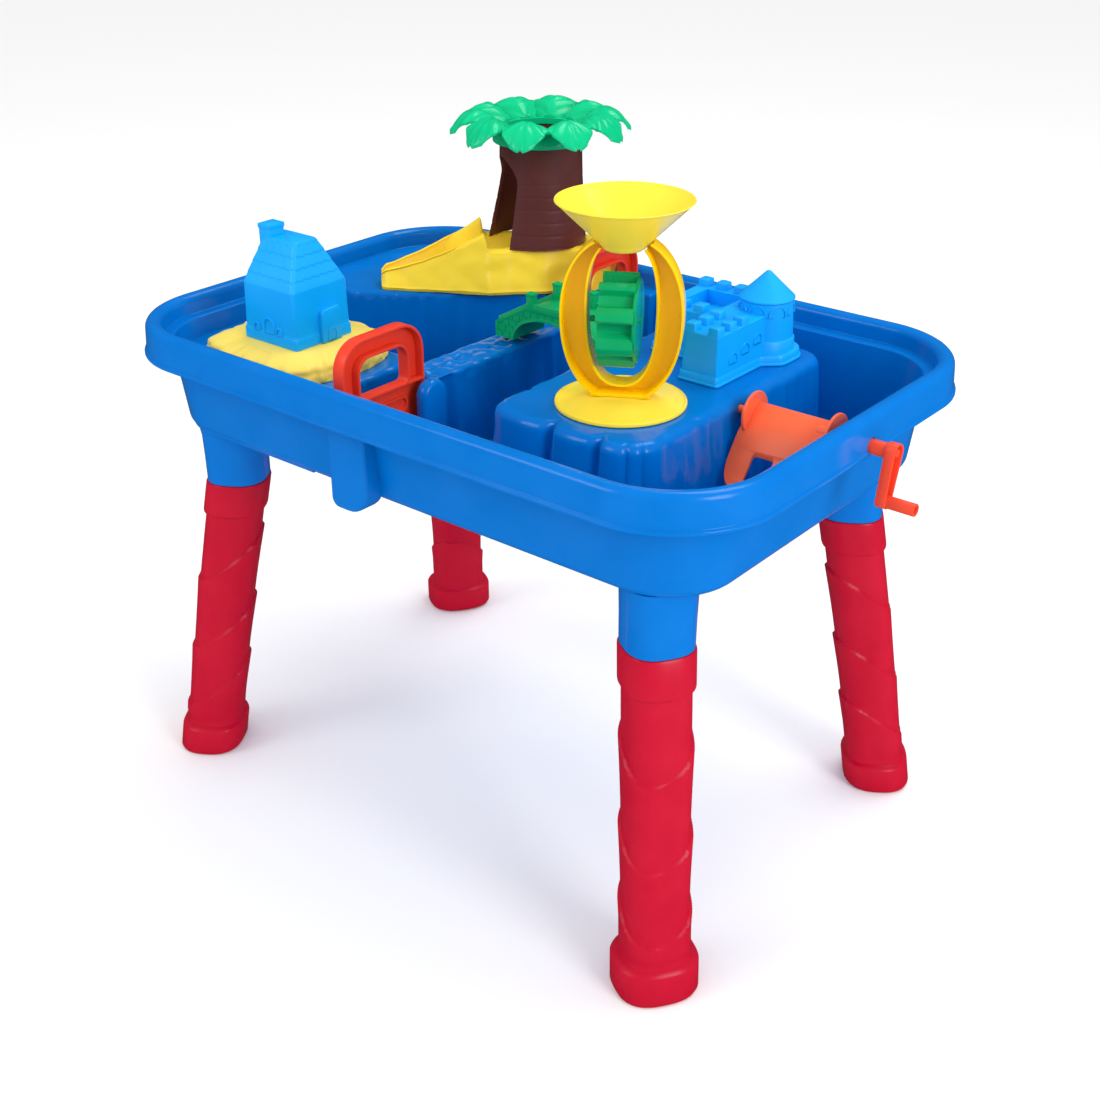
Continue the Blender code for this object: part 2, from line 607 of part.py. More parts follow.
def build_funnel(material):
    """A thin conical funnel with a short spout."""
    def ring(radius, z):
        return at_z(circle(radius, 32, STAND), z)

    neck_z = FUNNEL_Z - FUNNEL_DEPTH
    outer = [(FUNNEL_NECK - 0.0020, neck_z - 0.0015), (FUNNEL_NECK, neck_z), (FUNNEL_RADIUS, FUNNEL_Z)]
    inner = [(FUNNEL_RADIUS - 0.0026, FUNNEL_Z), (FUNNEL_NECK - 0.0015, neck_z + 0.0015),
             (0.0062, neck_z + 0.0008), (0.0062, neck_z - 0.0015)]
    bm = bmesh.new()
    loops = [[bm.verts.new(point) for point in ring(radius, z)] for radius, z in outer + inner]
    for lower, upper in zip(loops, loops[1:] + loops[:1]):
        for i in range(len(lower)):
            j = (i + 1) % len(lower)
            bm.faces.new((lower[i], lower[j], upper[j], upper[i]))
    return mesh_object("funnel", bm, material)


# Castle mould and bridge ------------------------------------------------------------------------


def build_castle(material):
    """A sand mould shaped as a castle: a near wing, a wide back wall and a round tower."""
    low = PLATEAU_Z + GAP
    plinth = fillet([(0.146, 0.013, 0.004), (0.188, 0.013, 0.004), (0.188, 0.082, 0.002),
                     (0.203, 0.096, 0.012), (0.203, 0.137, 0.022), (0.170, 0.141, 0.006),
                     (0.086, 0.141, 0.004), (0.086, 0.056, 0.004), (0.146, 0.056, 0.002)], 2)
    castle = prism("castle_mould", plinth, "Z", low, low + 0.0085, material)

    def wall(inset):
        x0, x1, x2 = 0.0885 + inset, 0.1485 + inset, 0.1860 - inset
        y0, y1, y2 = 0.0155 + inset, 0.0585 + inset, 0.1380 - inset
        return [(x1, y0), (x2, y0), (x2, y2), (x0, y2), (x0, y1), (x1, y1)]

    def add_walls(bm, bottom, top, inset, taper):
        add_loft(bm, [at_z(wall(inset), bottom), at_z(wall(inset + taper), top)])

    walls = bmesh.new()
    add_walls(walls, low + 0.0050, 0.4945, 0.0, 0.0015)
    join(castle, mesh_object("guide_castle_walls", walls))
    tower_centre = (0.1725, 0.1110)
    tower = loft("guide_castle_tower", [at_z(circle(0.0250, 20, tower_centre), low + 0.0050),
                                        at_z(circle(0.0232, 20, tower_centre), 0.5040),
                                        at_z(circle(0.0240, 20, tower_centre), 0.5045),
                                        at_z(circle(0.0015, 20, tower_centre), 0.5275)])
    join(castle, tower)

    merlons = bmesh.new()
    for x in (0.1556, 0.1790):
        for y in (0.0225, 0.0410, 0.0595):
            add_box(merlons, (x - 0.0050, y - 0.0050, 0.4900), (x + 0.0050, y + 0.0050, 0.5010))
    for x in (0.0960, 0.1150, 0.1340):
        for y in (0.0660, 0.1300):
            add_box(merlons, (x - 0.0052, y - 0.0052, 0.4900), (x + 0.0052, y + 0.0052, 0.5010))
    join(castle, mesh_object("guide_merlons", merlons))

    cut(castle, prism("guide_courtyard", box_outline(0.1040, 0.0760, 0.1440, 0.1200), "Z", 0.4820, 0.5120))
    hollow = bmesh.new()
    add_walls(hollow, low - 0.002, 0.4790, 0.0028, 0.0012)
    cut(castle, mesh_object("guide_inside_castle", hollow))
    cut(castle, loft("guide_inside_tower", [at_z(circle(0.0222, 20, tower_centre), low - 0.002),
                                            at_z(circle(0.0208, 20, tower_centre), 0.5025),
                                            at_z(circle(0.0030, 20, tower_centre), 0.5228)]))
    return castle


def build_bridge(material):
    """An arched toy bridge from the divider to the island."""
    x0, x1, y0, y1 = -0.0480, 0.0760, -0.0010, 0.0440
    low = PLATEAU_Z + GAP
    middle = (x0 + x1) / 2
    side = [(x0, low), (x0 + 0.0220, low)]
    side += [(middle - 0.0400 * cos(pi * k / 12), low + 0.0001 + 0.0240 * sin(pi * k / 12))
             for k in range(13)]
    side += [(x1 - 0.0220, low), (x1, low), (x1, low + 0.0140), (middle + 0.0230, low + 0.0330),
             (middle - 0.0230, low + 0.0330), (x0, low + 0.0140)]
    bridge = prism("bridge", side, "Y", y0, y1, material)
    parapets = bmesh.new()
    rail = [(x0 + 0.004, low + 0.0130), (x1 - 0.004, low + 0.0130), (x1 - 0.004, low + 0.0190),
            (middle + 0.0230, low + 0.0380), (middle - 0.0230, low + 0.0380), (x0 + 0.004, low + 0.0190)]
    arch_cut = 0.0240
    for y in (y0 + 0.0005, y1 - 0.0035):
        outline = rail[:1] + [(middle - arch_cut, low + 0.0280), (middle + arch_cut, low + 0.0280)] + rail[1:]
        add_loft(parapets, prism_rings(outline, "Y", y, y + 0.0030))
    join(bridge, mesh_object("guide_parapets", parapets))
    posts = bmesh.new()
    for x in (middle - 0.0205, middle + 0.0205):
        for y in (y0 + 0.0005, y1 - 0.0065):
            add_box(posts, (x - 0.0035, y - 0.0008, low + 0.0300), (x + 0.0035, y + 0.0068, low + 0.0475))
    join(bridge, mesh_object("guide_posts", posts))
    return bridge


# Wave paddle and crank --------------------------------------------------------------------------


def build_wave_paddle(material):
    """Two end discs on a short pin, with a curved blade between them that has two windows."""
    x0, x1 = 0.2270, 0.3060
    bm = bmesh.new()
    add_loft(bm, prism_rings(circle(0.0190, 24, (AXLE_Y, AXLE_Z)), "X", x0, x0 + 0.0025))
    paddle = mesh_object("wave_paddle", bm, material)

    def blade_point(s, lift):
        """s runs from the axle to the free edge; lift is across the blade's thickness."""
        y = AXLE_Y + 0.006 - 0.052 * s
        z = AXLE_Z + 0.008 - 0.060 * s + 0.008 * sin(2 * pi * s) * 0.5
        return y - 0.76 * lift, z + 0.65 * lift

    bm = bmesh.new()
    steps = 8
    edge = [blade_point(k / steps, 0.0) for k in range(steps + 1)]
    edge += [blade_point(k / steps, 0.0024) for k in range(steps, -1, -1)]
    add_loft(bm, prism_rings(edge, "X", x0 + 0.001, x1 - 0.001))
    blade = mesh_object("guide_blade", bm)
    join(paddle, blade)
    rest = bmesh.new()
    add_loft(rest, prism_rings(circle(0.0190, 24, (AXLE_Y, AXLE_Z)), "X", x1 - 0.0025, x1))
    join(paddle, mesh_object("guide_far_disc", rest))
    pins = bmesh.new()
    add_loft(pins, prism_rings(circle(0.0036, 12, (AXLE_Y, AXLE_Z)), "X", 0.2095, x0 + 0.001))
    join(paddle, mesh_object("guide_pivot_pin", pins))
    socket = bmesh.new()
    add_loft(socket, prism_rings(circle(0.0062, 12, (AXLE_Y, AXLE_Z)), "X", x1 - 0.0165, x1 - 0.0010))
    join(paddle, mesh_object("guide_paddle_socket", socket))
    windows = bmesh.new()
    for low, high in ((0.2440, 0.2640), (0.2690, 0.2890)):
        window = fillet([(low, -0.0300, 0.003), (high, -0.0300, 0.003),
                         (high, -0.0130, 0.003), (low, -0.0130, 0.003)], 2)
        add_loft(windows, prism_rings(window, "Z", 0.372, 0.442))
    corner = [(x0 - 0.003, -0.060), (x0 + 0.019, -0.060)]
    corner += [(x0 + 0.019 - 0.018 * sin(pi * k / 12), -0.018 - 0.018 * cos(pi * k / 12)) for k in range(7)]
    corner += [(x0 - 0.003, -0.018)]
    add_loft(windows, prism_rings(corner, "Z", 0.372, 0.442))
    cut(paddle, mesh_object("guide_windows", windows))
    bore = bmesh.new()
    add_loft(bore, prism_rings(circle(0.0040, 12, (AXLE_Y, AXLE_Z)), "X", x1 - 0.0150, x1 + 0.002))
    cut(paddle, mesh_object("guide_paddle_bore", bore))
    return paddle


def build_crank(material):
    """The crank: a shaft through the rim, an arm and a grip parallel to the shaft."""
    turn = Matrix.Translation((0.0, AXLE_Y, AXLE_Z)) @ Matrix.Rotation(CRANK_TILT, 4, 'X')
    arm_length = 0.0395

    def part(name, outline, low, high, owner=None):
        """An outline in the crank's own (y, z), extruded along the axle."""
        bm = bmesh.new()
        add_loft(bm, prism_rings(outline, "X", low, high))
        bmesh.ops.transform(bm, verts=bm.verts, matrix=turn)
        return mesh_object(name, bm, owner)

    def half_round(radius, start, middle=0.0):
        angles = [start + pi * k / 8 for k in range(9)]
        return [(radius * cos(a), middle + radius * sin(a)) for a in angles]

    arm = half_round(0.0080, 0.0) + half_round(0.0062, pi, -arm_length)
    crank = part("crank", arm, 0.3520, 0.3610, material)
    join(crank, part("guide_boss", circle(0.0062, 16), 0.3150, 0.3530))
    join(crank, part("guide_drive_pin", circle(0.0036, 12), 0.2925, 0.3160))
    join(crank, part("guide_grip", circle(0.0053, 16, (0.0, -arm_length)), 0.3600, 0.3850))
    pocket = half_round(0.0058, 0.0) + [(-0.0040, 0.0075 - arm_length), (0.0040, 0.0075 - arm_length)]
    cut(crank, part("guide_arm_pocket", pocket, 0.3550, 0.3640))
    cut(crank, part("guide_grip_bore", circle(0.0036, 12, (0.0, -arm_length)), 0.3640, 0.3870))
    return crank


# The whole table --------------------------------------------------------------------------------


def hang(obj, point, carrier=None):
    """Put a piece's origin on its joint, and let it move with the piece that carries it."""
    offset = Vector(point)
    obj.data.transform(Matrix.Translation(-offset))
    obj.location = offset
    if carrier:
        obj.parent = carrier
        obj.matrix_parent_inverse = Matrix.Translation(carrier.location).inverted()


def main():
    for obj in list(bpy.data.objects):
        bpy.data.objects.remove(obj, do_unlink=True)

    blue = plastic("blue_polypropylene", (0.003, 0.165, 0.580), 0.25)
    red = plastic("crimson_polypropylene", (0.480, 0.003, 0.022), 0.30)
    orange = plastic("red_orange_plastic", (0.780, 0.080, 0.030), 0.35)
    sand = plastic("sand_yellow_plastic", (0.760, 0.520, 0.045), 0.35)
    sky = plastic("light_blue_plastic", (0.005, 0.350, 0.830), 0.30)
    brown = plastic("brown_plastic", (0.085, 0.030, 0.024), 0.35)
    leaf = plastic("leaf_green_plastic", (0.003, 0.480, 0.220), 0.30)
    pale = plastic("pale_yellow_plastic", (0.900, 0.680, 0.080), 0.30)
    golden = plastic("golden_yellow_plastic", (0.870, 0.500, 0.010), 0.30)
    green = plastic("green_plastic", (0.003, 0.290, 0.120), 0.30)

    build_tub(blue)
    for name, sx, sy in (("leg_front_left", -1, -1), ("leg_front_right", 1, -1),
                         ("leg_back_left", -1, 1), ("leg_back_right", 1, 1)):
        build_leg(name, sx, sy, red)
    for name, side in (("gate_front", -1), ("gate_back", 1)):
        hang(build_gate(name, side, orange), (GATE_X, side * (GATE_INNER_Y + GATE_OUTER_Y) / 2, FLOOR_Z))

    house_base = build_house_base(sand)
    hang(house_base, (*HOUSE, HOUSE_LEDGE_Z))
    hang(build_house(sky), (*HOUSE, HOUSE_SEAT_Z), house_base)

    hill, trunk = build_hill(sand), build_trunk(brown)
    hang(hill, (*TRUNK, PLATEAU_Z))
    hang(trunk, (*TRUNK, TRUNK_Z), hill)
    hang(build_crown(leaf), (*TRUNK, TRUNK_TOP_Z), trunk)

    stand, frame = build_stand_base(pale), build_wheel_frame(golden)
    hang(stand, (*STAND, DISC_Z))
    hang(frame, (*STAND, STAND_TOP_Z), stand)
    hang(build_water_wheel(green), (*STAND, WHEEL_Z), frame)
    hang(build_funnel(pale), (*STAND, FUNNEL_Z), frame)

    hang(build_castle(sky), (0.146, 0.077, PLATEAU_Z))
    hang(build_bridge(green), (0.014, 0.0215, PLATEAU_Z))
    paddle = build_wave_paddle(orange)
    hang(paddle, (0.2665, AXLE_Y, AXLE_Z))
    hang(build_crank(orange), (0.3565, AXLE_Y, AXLE_Z), paddle)


main()
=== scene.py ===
from math import ceil, cos, exp, floor, pi, radians, sin, tan

import bmesh
import bpy
from mathutils import Matrix, Vector, noise


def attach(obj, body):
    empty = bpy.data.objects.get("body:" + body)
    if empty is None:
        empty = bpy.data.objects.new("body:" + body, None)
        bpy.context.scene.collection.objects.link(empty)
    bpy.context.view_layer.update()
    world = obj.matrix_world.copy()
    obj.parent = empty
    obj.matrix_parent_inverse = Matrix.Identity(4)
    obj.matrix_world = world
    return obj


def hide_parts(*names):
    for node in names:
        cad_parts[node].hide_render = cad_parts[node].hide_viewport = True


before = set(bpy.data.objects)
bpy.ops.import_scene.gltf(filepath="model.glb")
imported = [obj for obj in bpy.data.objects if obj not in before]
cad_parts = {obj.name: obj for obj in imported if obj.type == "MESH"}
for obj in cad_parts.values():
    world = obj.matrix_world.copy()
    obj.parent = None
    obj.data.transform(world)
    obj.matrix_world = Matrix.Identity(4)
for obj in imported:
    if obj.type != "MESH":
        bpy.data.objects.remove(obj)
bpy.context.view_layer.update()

# The table: a children's sand and water table. Metres, +Z up, +X along the long side; the crank is on
# the +X end and -Y is the front. A size that several pieces share is in the section of the first of them.

# Camera ------------------------------------------------------------------------------------------
# A short telephoto above the front right corner, level with a standing child's eye.

CAMERA_TURN, CAMERA_RISE, CAMERA_ROLL = radians(39.915), radians(27.5454), radians(-0.3752)
back = Vector((sin(CAMERA_TURN) * cos(CAMERA_RISE), -cos(CAMERA_TURN) * cos(CAMERA_RISE), sin(CAMERA_RISE)))
right = Vector((cos(CAMERA_TURN), sin(CAMERA_TURN), 0.0))
up = back.cross(right)
right, up = (cos(CAMERA_ROLL) * right + sin(CAMERA_ROLL) * up,
             cos(CAMERA_ROLL) * up - sin(CAMERA_ROLL) * right)
place = Matrix((right, up, back)).transposed().to_4x4()
place.translation = Vector((0.0, 0.0, 0.242)) + back * 1.4776
lens = bpy.data.cameras.new("Camera")
lens.sensor_width = 36.0
lens.lens = 49.7517
lens.shift_x, lens.shift_y = 0.01187, -0.00094
lens.clip_start, lens.clip_end = 0.05, 100.0
camera = bpy.data.objects.new("Camera", lens)
camera.matrix_world = place
bpy.context.collection.objects.link(camera)
bpy.context.scene.camera = camera
bpy.context.scene.view_settings.view_transform = 'Standard'
bpy.context.scene.view_settings.look = 'None'

# Floor and light ---------------------------------------------------------------------------------
# A plain pale studio floor under three large soft boxes and a bright room.


def linear(code):
    """An sRGB hex colour as linear RGBA."""
    channels = [int(code[i:i + 2], 16) / 255 for i in (0, 2, 4)]
    return (*[c / 12.92 if c <= 0.04045 else ((c + 0.055) / 1.055) ** 2.4 for c in channels], 1.0)


def add_node(material, kind, settings, links=()):
    """Add a node, set its values and inputs, and link inputs given as (input, node, output)."""
    node = material.node_tree.nodes.new(kind)
    for name, value in settings.items():
        if name == "stops":
            for stop, (place, colour) in zip(node.color_ramp.elements, value):
                stop.position, stop.color = place, colour
        elif name in node.inputs:
            node.inputs[name].default_value = value
        else:
            setattr(node, name, value)
    for name, source, output in links:
        material.node_tree.links.new(source.outputs[output], node.inputs[name])
    return node


paint = bpy.data.materials.new("studio_floor")
paint.use_nodes = True
paint.node_tree.nodes["Principled BSDF"].inputs["Base Color"].default_value = linear("f8f8f8")
paint.node_tree.nodes["Principled BSDF"].inputs["Roughness"].default_value = 0.9
paint.node_tree.nodes["Principled BSDF"].inputs["Specular IOR Level"].default_value = 0.2
ground = bmesh.new()
bmesh.ops.create_grid(ground, x_segments=1, y_segments=1, size=30.0)
ground_mesh = bpy.data.meshes.new("studio_floor")
ground.to_mesh(ground_mesh)
ground.free()
ground_mesh.materials.append(paint)
studio_floor = bpy.data.objects.new("studio_floor", ground_mesh)
bpy.context.collection.objects.link(studio_floor)
studio_floor.visible_glossy = False

for name, spot, aim, width, height, watts in (
        ("soft_box_front", (-1.3, -2.3, 2.1), (0.0, 0.0, 0.3), 1.2, 1.2, 17.0),
        ("soft_box_right", (2.5, -0.5, 1.5), (0.0, 0.0, 0.3), 1.0, 1.4, 30.0),
        ("soft_box_top", (0.2, 1.0, 2.6), (0.0, 0.0, 0.4), 1.5, 0.8, 17.0)):
    box = bpy.data.lights.new(name, 'AREA')
    box.shape = 'RECTANGLE'
    box.size, box.size_y, box.energy = width, height, watts
    lamp = bpy.data.objects.new(name, box)
    lamp.location = spot
    lamp.rotation_euler = (Vector(aim) - Vector(spot)).to_track_quat('-Z', 'Y').to_euler()
    bpy.context.collection.objects.link(lamp)
room = bpy.data.worlds.new("Room")
room.use_nodes = True
room.node_tree.nodes["Background"].inputs["Color"].default_value = (1.0, 1.0, 1.0, 1.0)
dim = add_node(room, "ShaderNodeLightPath", {})
level = add_node(room, "ShaderNodeMapRange", {"To Min": 1.0, "To Max": 0.04},
                 [("Value", dim, "Is Glossy Ray")])
room.node_tree.links.new(level.outputs["Result"], room.node_tree.nodes["Background"].inputs["Strength"])
bpy.context.scene.world = room

# Tub ---------------------------------------------------------------------------------------------
# One blue polypropylene moulding: a basin under a rolled rim with a hanging skirt, with a rock island,
# a rock divider and two rock ledges standing up inside it, and a stub under each corner for a leg.


def moulded(name, code, roughness, shade=0.90, peel=0.00012):
    """Injection-moulded polypropylene or polyethylene: one even colour through the whole wall with
    faint flow clouds, a waxy gloss that varies a little, slight ripple and a very fine grain."""
    material = bpy.data.materials.new(name)
    material.use_nodes = True
    shader = material.node_tree.nodes["Principled BSDF"]
    colour = linear(code)
    dark = (*[c * shade for c in colour[:3]], 1.0)
    where = add_node(material, "ShaderNodeTexCoord", {})
    clouds = add_node(material, "ShaderNodeTexNoise", {"Scale": 1 / 0.045, "Detail": 3.0, "Roughness": 0.55},
                      [("Vector", where, "Object")])
    tint = add_node(material, "ShaderNodeValToRGB", {"stops": [(0.32, dark), (0.62, colour)]},
                    [("Fac", clouds, "Fac")])
    gloss = add_node(material, "ShaderNodeMapRange", {"From Min": 0.3, "From Max": 0.7,
                                                      "To Min": roughness - 0.03, "To Max": roughness + 0.05},
                     [("Value", clouds, "Fac")])
    ripple = add_node(material, "ShaderNodeTexNoise", {"Scale": 1 / 0.016, "Detail": 1.0},
                      [("Vector", where, "Object")])
    waves = add_node(material, "ShaderNodeBump", {"Strength": 0.5, "Distance": peel},
                     [("Height", ripple, "Fac")])
    specks = add_node(material, "ShaderNodeTexNoise", {"Scale": 1 / 0.0009, "Detail": 2.0},
                      [("Vector", where, "Object")])
    grain = add_node(material, "ShaderNodeBump", {"Strength": 0.12, "Distance": 0.00004},
                     [("Height", specks, "Fac"), ("Normal", waves, "Normal")])
    links = material.node_tree.links
    links.new(tint.outputs["Color"], shader.inputs["Base Color"])
    links.new(gloss.outputs["Result"], shader.inputs["Roughness"])
    links.new(grain.outputs["Normal"], shader.inputs["Normal"])
    shader.inputs["IOR"].default_value = 1.49
    shader.inputs["Specular IOR Level"].default_value = 0.26
    return material


def fillet(corners, steps=5):
    """Round a polygon of (u, v, radius) corners, given anticlockwise."""
    outline = []
    for i, (u, v, radius) in enumerate(corners):
        here = Vector((u, v))
        before = (Vector(corners[i - 1][:2]) - here).normalized()
        after = (Vector(corners[(i + 1) % len(corners)][:2]) - here).normalized()
        if radius == 0:
            outline.append((u, v))
            continue
        half = before.angle(after) / 2
        reach = radius / tan(half)
        centre = here + (before + after).normalized() * (radius / sin(half))
        start, end = here + before * reach - centre, here + after * reach - centre
        sweep = start.angle_signed(end)
        for k in range(steps + 1):
            spoke = start.copy()
            spoke.rotate(Matrix.Rotation(-sweep * k / steps, 2))
            outline.append(tuple(centre + spoke))
    return outline


def rounded_rect(half_x, half_y, radius, steps=5, centre=(0.0, 0.0)):
    cx, cy = centre
    return fillet([(cx - half_x, cy - half_y, radius), (cx + half_x, cy - half_y, radius),
                   (cx + half_x, cy + half_y, radius), (cx - half_x, cy + half_y, radius)], steps)


def trace(outline, spacing):
    """Walk a closed outline in even steps; gives (x, y, normal x, normal y) at each."""
    points = [Vector(p) for p in outline]
    gaps = [(points[(i + 1) % len(points)] - p).length for i, p in enumerate(points)]
    count = ceil(sum(gaps) / spacing)
    even, i, gone = [], 0, 0.0
    for k in range(count):
        target = sum(gaps) * k / count
        while gone + gaps[i] < target:
            gone += gaps[i]
            i += 1
        share = (target - gone) / gaps[i] if gaps[i] else 0.0
        even.append(points[i].lerp(points[(i + 1) % len(points)], share))
    walk = []
    for k, point in enumerate(even):
        along = (even[(k + 1) % count] - even[k - 1]).normalized()
        walk.append((point.x, point.y, along.y, -along.x))
    return walk


def skin(bm, rings, closed=False):
    """Extrude a ring of points through every other ring; close both ends, or weld last onto first."""
    start = verts = [bm.verts.new(point) for point in rings[0]]
    first = edges = [bm.edges.new((verts[i - 1], verts[i])) for i in range(len(verts))]
    for ring in rings[1:] + (rings[:1] if closed else []):
        grown = bmesh.ops.extrude_edge_only(bm, edges=edges)["geom"]
        fresh = {part for part in grown if isinstance(part, bmesh.types.BMVert)}
        edges = [part for part in grown if isinstance(part, bmesh.types.BMEdge)
                 and part.verts[0] in fresh and part.verts[1] in fresh]
        verts = [next(e.other_vert(v) for e in v.link_edges if e.other_vert(v) in fresh) for v in verts]
        for vert, point in zip(verts, ring):
            vert.co = point
    if closed:
        bmesh.ops.weld_verts(bm, targetmap=dict(zip(verts, start)))
    else:
        for loop in (first, edges):
            bmesh.ops.contextual_create(bm, geom=loop)


def at_z(outline, z):
    return [(u, v, z) for u, v in outline]


def swept(outline, axis, w):
    """An outline in the plane across an axis, at a distance along it."""
    place = {"X": lambda u, v: (w, u, v), "Y": lambda u, v: (u, w, v), "Z": lambda u, v: (u, v, w)}[axis]
    return [place(u, v) for u, v in outline]


def prism(bm, outline, axis, low, high):
    skin(bm, [swept(outline, axis, low), swept(outline, axis, high)])


def block(bm, low, high):
    prism(bm, [(low[0], low[1]), (high[0], low[1]), (high[0], high[1]), (low[0], high[1])], "Z",
          low[2], high[2])


def soften(bm, width, angle=30, segments=2):
    """Round every edge that is sharper than an angle."""
    bmesh.ops.recalc_face_normals(bm, faces=bm.faces)
    sharp = [e for e in bm.edges if len(e.link_faces) == 2 and e.calc_face_angle(0.0) > radians(angle)]
    bmesh.ops.bevel(bm, geom=sharp, offset=width, affect='EDGES', segments=segments, profile=0.5,
                    material=-1, clamp_overlap=True)


def body_mesh(bm, name):
    bmesh.ops.recalc_face_normals(bm, faces=bm.faces)
    mesh = bpy.data.meshes.new(name)
    bm.to_mesh(mesh)
    bm.free()
    return mesh


def carved(bm, tool, operation='DIFFERENCE', messy=False):
    """What is left of a body after a tool is cut from it, or what the two have in common."""
    work = [bpy.data.objects.new("work", body_mesh(part, "work")) for part in (bm, tool)]
    for obj in work:
        bpy.context.collection.objects.link(obj)
    modifier = work[0].modifiers.new("Cut", 'BOOLEAN')
    modifier.operation, modifier.object, modifier.solver = operation, work[1], 'EXACT'
    modifier.use_self = messy
    graph = bpy.context.evaluated_depsgraph_get()
    result = bmesh.new()
    result.from_mesh(work[0].evaluated_get(graph).to_mesh())
    for obj in work:
        bpy.data.objects.remove(obj, do_unlink=True)
    return result


def add_to(bm, other):
    """Put a second body beside the first in one piece."""
    mesh = body_mesh(other, "work")
    bm.from_mesh(mesh)
    bpy.data.meshes.remove(mesh)


def piece(name, bm, material, body, nodes, sharp=38):
    """Make the finished piece, and hand it to the body that it rides on."""
    mesh = body_mesh(bm, name)
    mesh.shade_smooth()
    mesh.set_sharp_from_angle(angle=radians(sharp))
    mesh.materials.append(material)
    obj = bpy.data.objects.new(name, mesh)
    bpy.context.collection.objects.link(obj)
    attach(obj, body)
    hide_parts(*nodes)
    return obj


def smooth_step(low, high, value):
    t = min(max((value - low) / (high - low), 0.0), 1.0)
    return t * t * (3 - 2 * t)


def lumps(x, y, z, size):
    """Smooth noise between -1 and 1 whose bumps are about one size across."""
    return noise.noise(Vector((x, y, z)) / size)


RIM_HALF_X, RIM_HALF_Y, RIM_RADIUS = 0.330, 0.219, 0.088
FLOOR_Z, UNDER_Z, PLATEAU_Z, HOUSE_LEDGE_Z = 0.365, 0.362, 0.450, 0.429
blue = moulded("blue_polypropylene", "0070c8", 0.17, 0.94)


def rim_line(offset, steps=30):
    return rounded_rect(RIM_HALF_X + offset, RIM_HALF_Y + offset, RIM_RADIUS + offset, steps)


# From the middle of the underside up the outside, over the rim, and down to the middle of the floor.
wall = [(-0.0600, UNDER_Z, 0), (-0.0262, UNDER_Z, 0.0110), (-0.0160, 0.4425, 0.0012),
        (-0.0072, 0.4450, 0.0012), (-0.0060, 0.4620, 0.0060), (0.0038, 0.4625, 0.0050),
        (0.0057, 0.4352, 0.0006), (0.0064, 0.4342, 0.0005), (0.0093, 0.4342, 0.0012),
        (0.0093, 0.4370, 0.0012), (0.0074, 0.4388, 0.0010), (0.0058, 0.4658, 0.0072),
        (-0.0090, 0.4658, 0.0072), (-0.0100, 0.4482, 0.0012), (-0.0192, 0.4472, 0.0022),
        (-0.0292, FLOOR_Z, 0.0100), (-0.0600, FLOOR_Z, 0)]
shell = bmesh.new()
skin(shell, [at_z(rim_line(offset), z) for offset, z in fillet(wall, 7)])

# The gates slide in slots, and the crank's shaft goes through a hole in the right-hand wall.
GATE_X, AXLE_Y, AXLE_Z = -0.042, 0.010, 0.4405


def circle(radius, count=48, centre=(0.0, 0.0)):
    return [(centre[0] + radius * cos(2 * pi * k / count), centre[1] + radius * sin(2 * pi * k / count))
            for k in range(count)]


def gate_slots():
    slots = bmesh.new()
    for side in (-1, 1):
        near, far = sorted((side * 0.1075, side * 0.2075))
        block(slots, (GATE_X - 0.0073, near, FLOOR_Z + 0.0006), (GATE_X + 0.0073, far, 0.4720))
    return slots


openings = gate_slots()
prism(openings, circle(0.0070, 32, (AXLE_Y, AXLE_Z)), "X", 0.300, 0.350)
tub = carved(shell, openings)

# The gates' channels show as ribs outside the basin, each with a rounded foot.
for side in (-1, 1):
    rib = fillet([(GATE_X - 0.0108, 0.3530, 0.0090), (GATE_X + 0.0330, 0.3530, 0.0240),
                  (GATE_X + 0.0330, 0.4478, 0), (GATE_X - 0.0108, 0.4478, 0)], 8)
    channel = bmesh.new()
    prism(channel, rib, "Y", *sorted((side * 0.1900, side * 0.2126)))
    soften(channel, 0.0032, 50, 4)
    add_to(tub, carved(channel, gate_slots()))

# The four stubs that the legs push onto.
LEG_TOP, LEG_FOOT, LEG_TOP_Z, STUB_Z = (0.251, 0.153), (0.288, 0.193), 0.304, 0.276


def leg_ring(centre, half, z, spread=1.0, count=96, swell=None):
    """A section between a circle and a square, set on the leg's own diagonal."""
    diagonal = Vector(centre).normalized()
    points = []
    for k in range(count):
        a = 2 * pi * k / count
        reach = half * (abs(cos(a)) ** 2.6 + abs(sin(a)) ** 2.6) ** (-1 / 2.6)
        reach += swell(a if a < pi else a - 2 * pi, z) if swell else 0.0
        along, across = reach * cos(a), reach * sin(a) * spread
        points.append((centre[0] + diagonal.x * along - diagonal.y * across,
                       centre[1] + diagonal.y * along + diagonal.x * across, z))
    return points


def leg_centre(z, sx=1, sy=1):
    """The middle of a leg at a height; it leans out towards the floor, faster at its top."""
    t = max(1 - z / LEG_TOP_Z, 0.0)
    t = t + 0.10 * t * (1 - t)
    return tuple(s * (top + (foot - top) * t) for s, top, foot in zip((sx, sy), LEG_TOP, LEG_FOOT))


CORNERS = [(-1, -1), (1, -1), (-1, 1), (1, 1)]
for corner in CORNERS:
    top = leg_centre(LEG_TOP_Z, *corner)
    skin(tub, [leg_ring(leg_centre(STUB_Z, *corner), 0.0246, STUB_Z), leg_ring(top, 0.0248, LEG_TOP_Z),
               leg_ring(top, 0.0290, LEG_TOP_Z + 0.0002), leg_ring(top, 0.0292, 0.330),
               leg_ring(top, 0.0298, 0.352), leg_ring(top, 0.0318, 0.3628)])

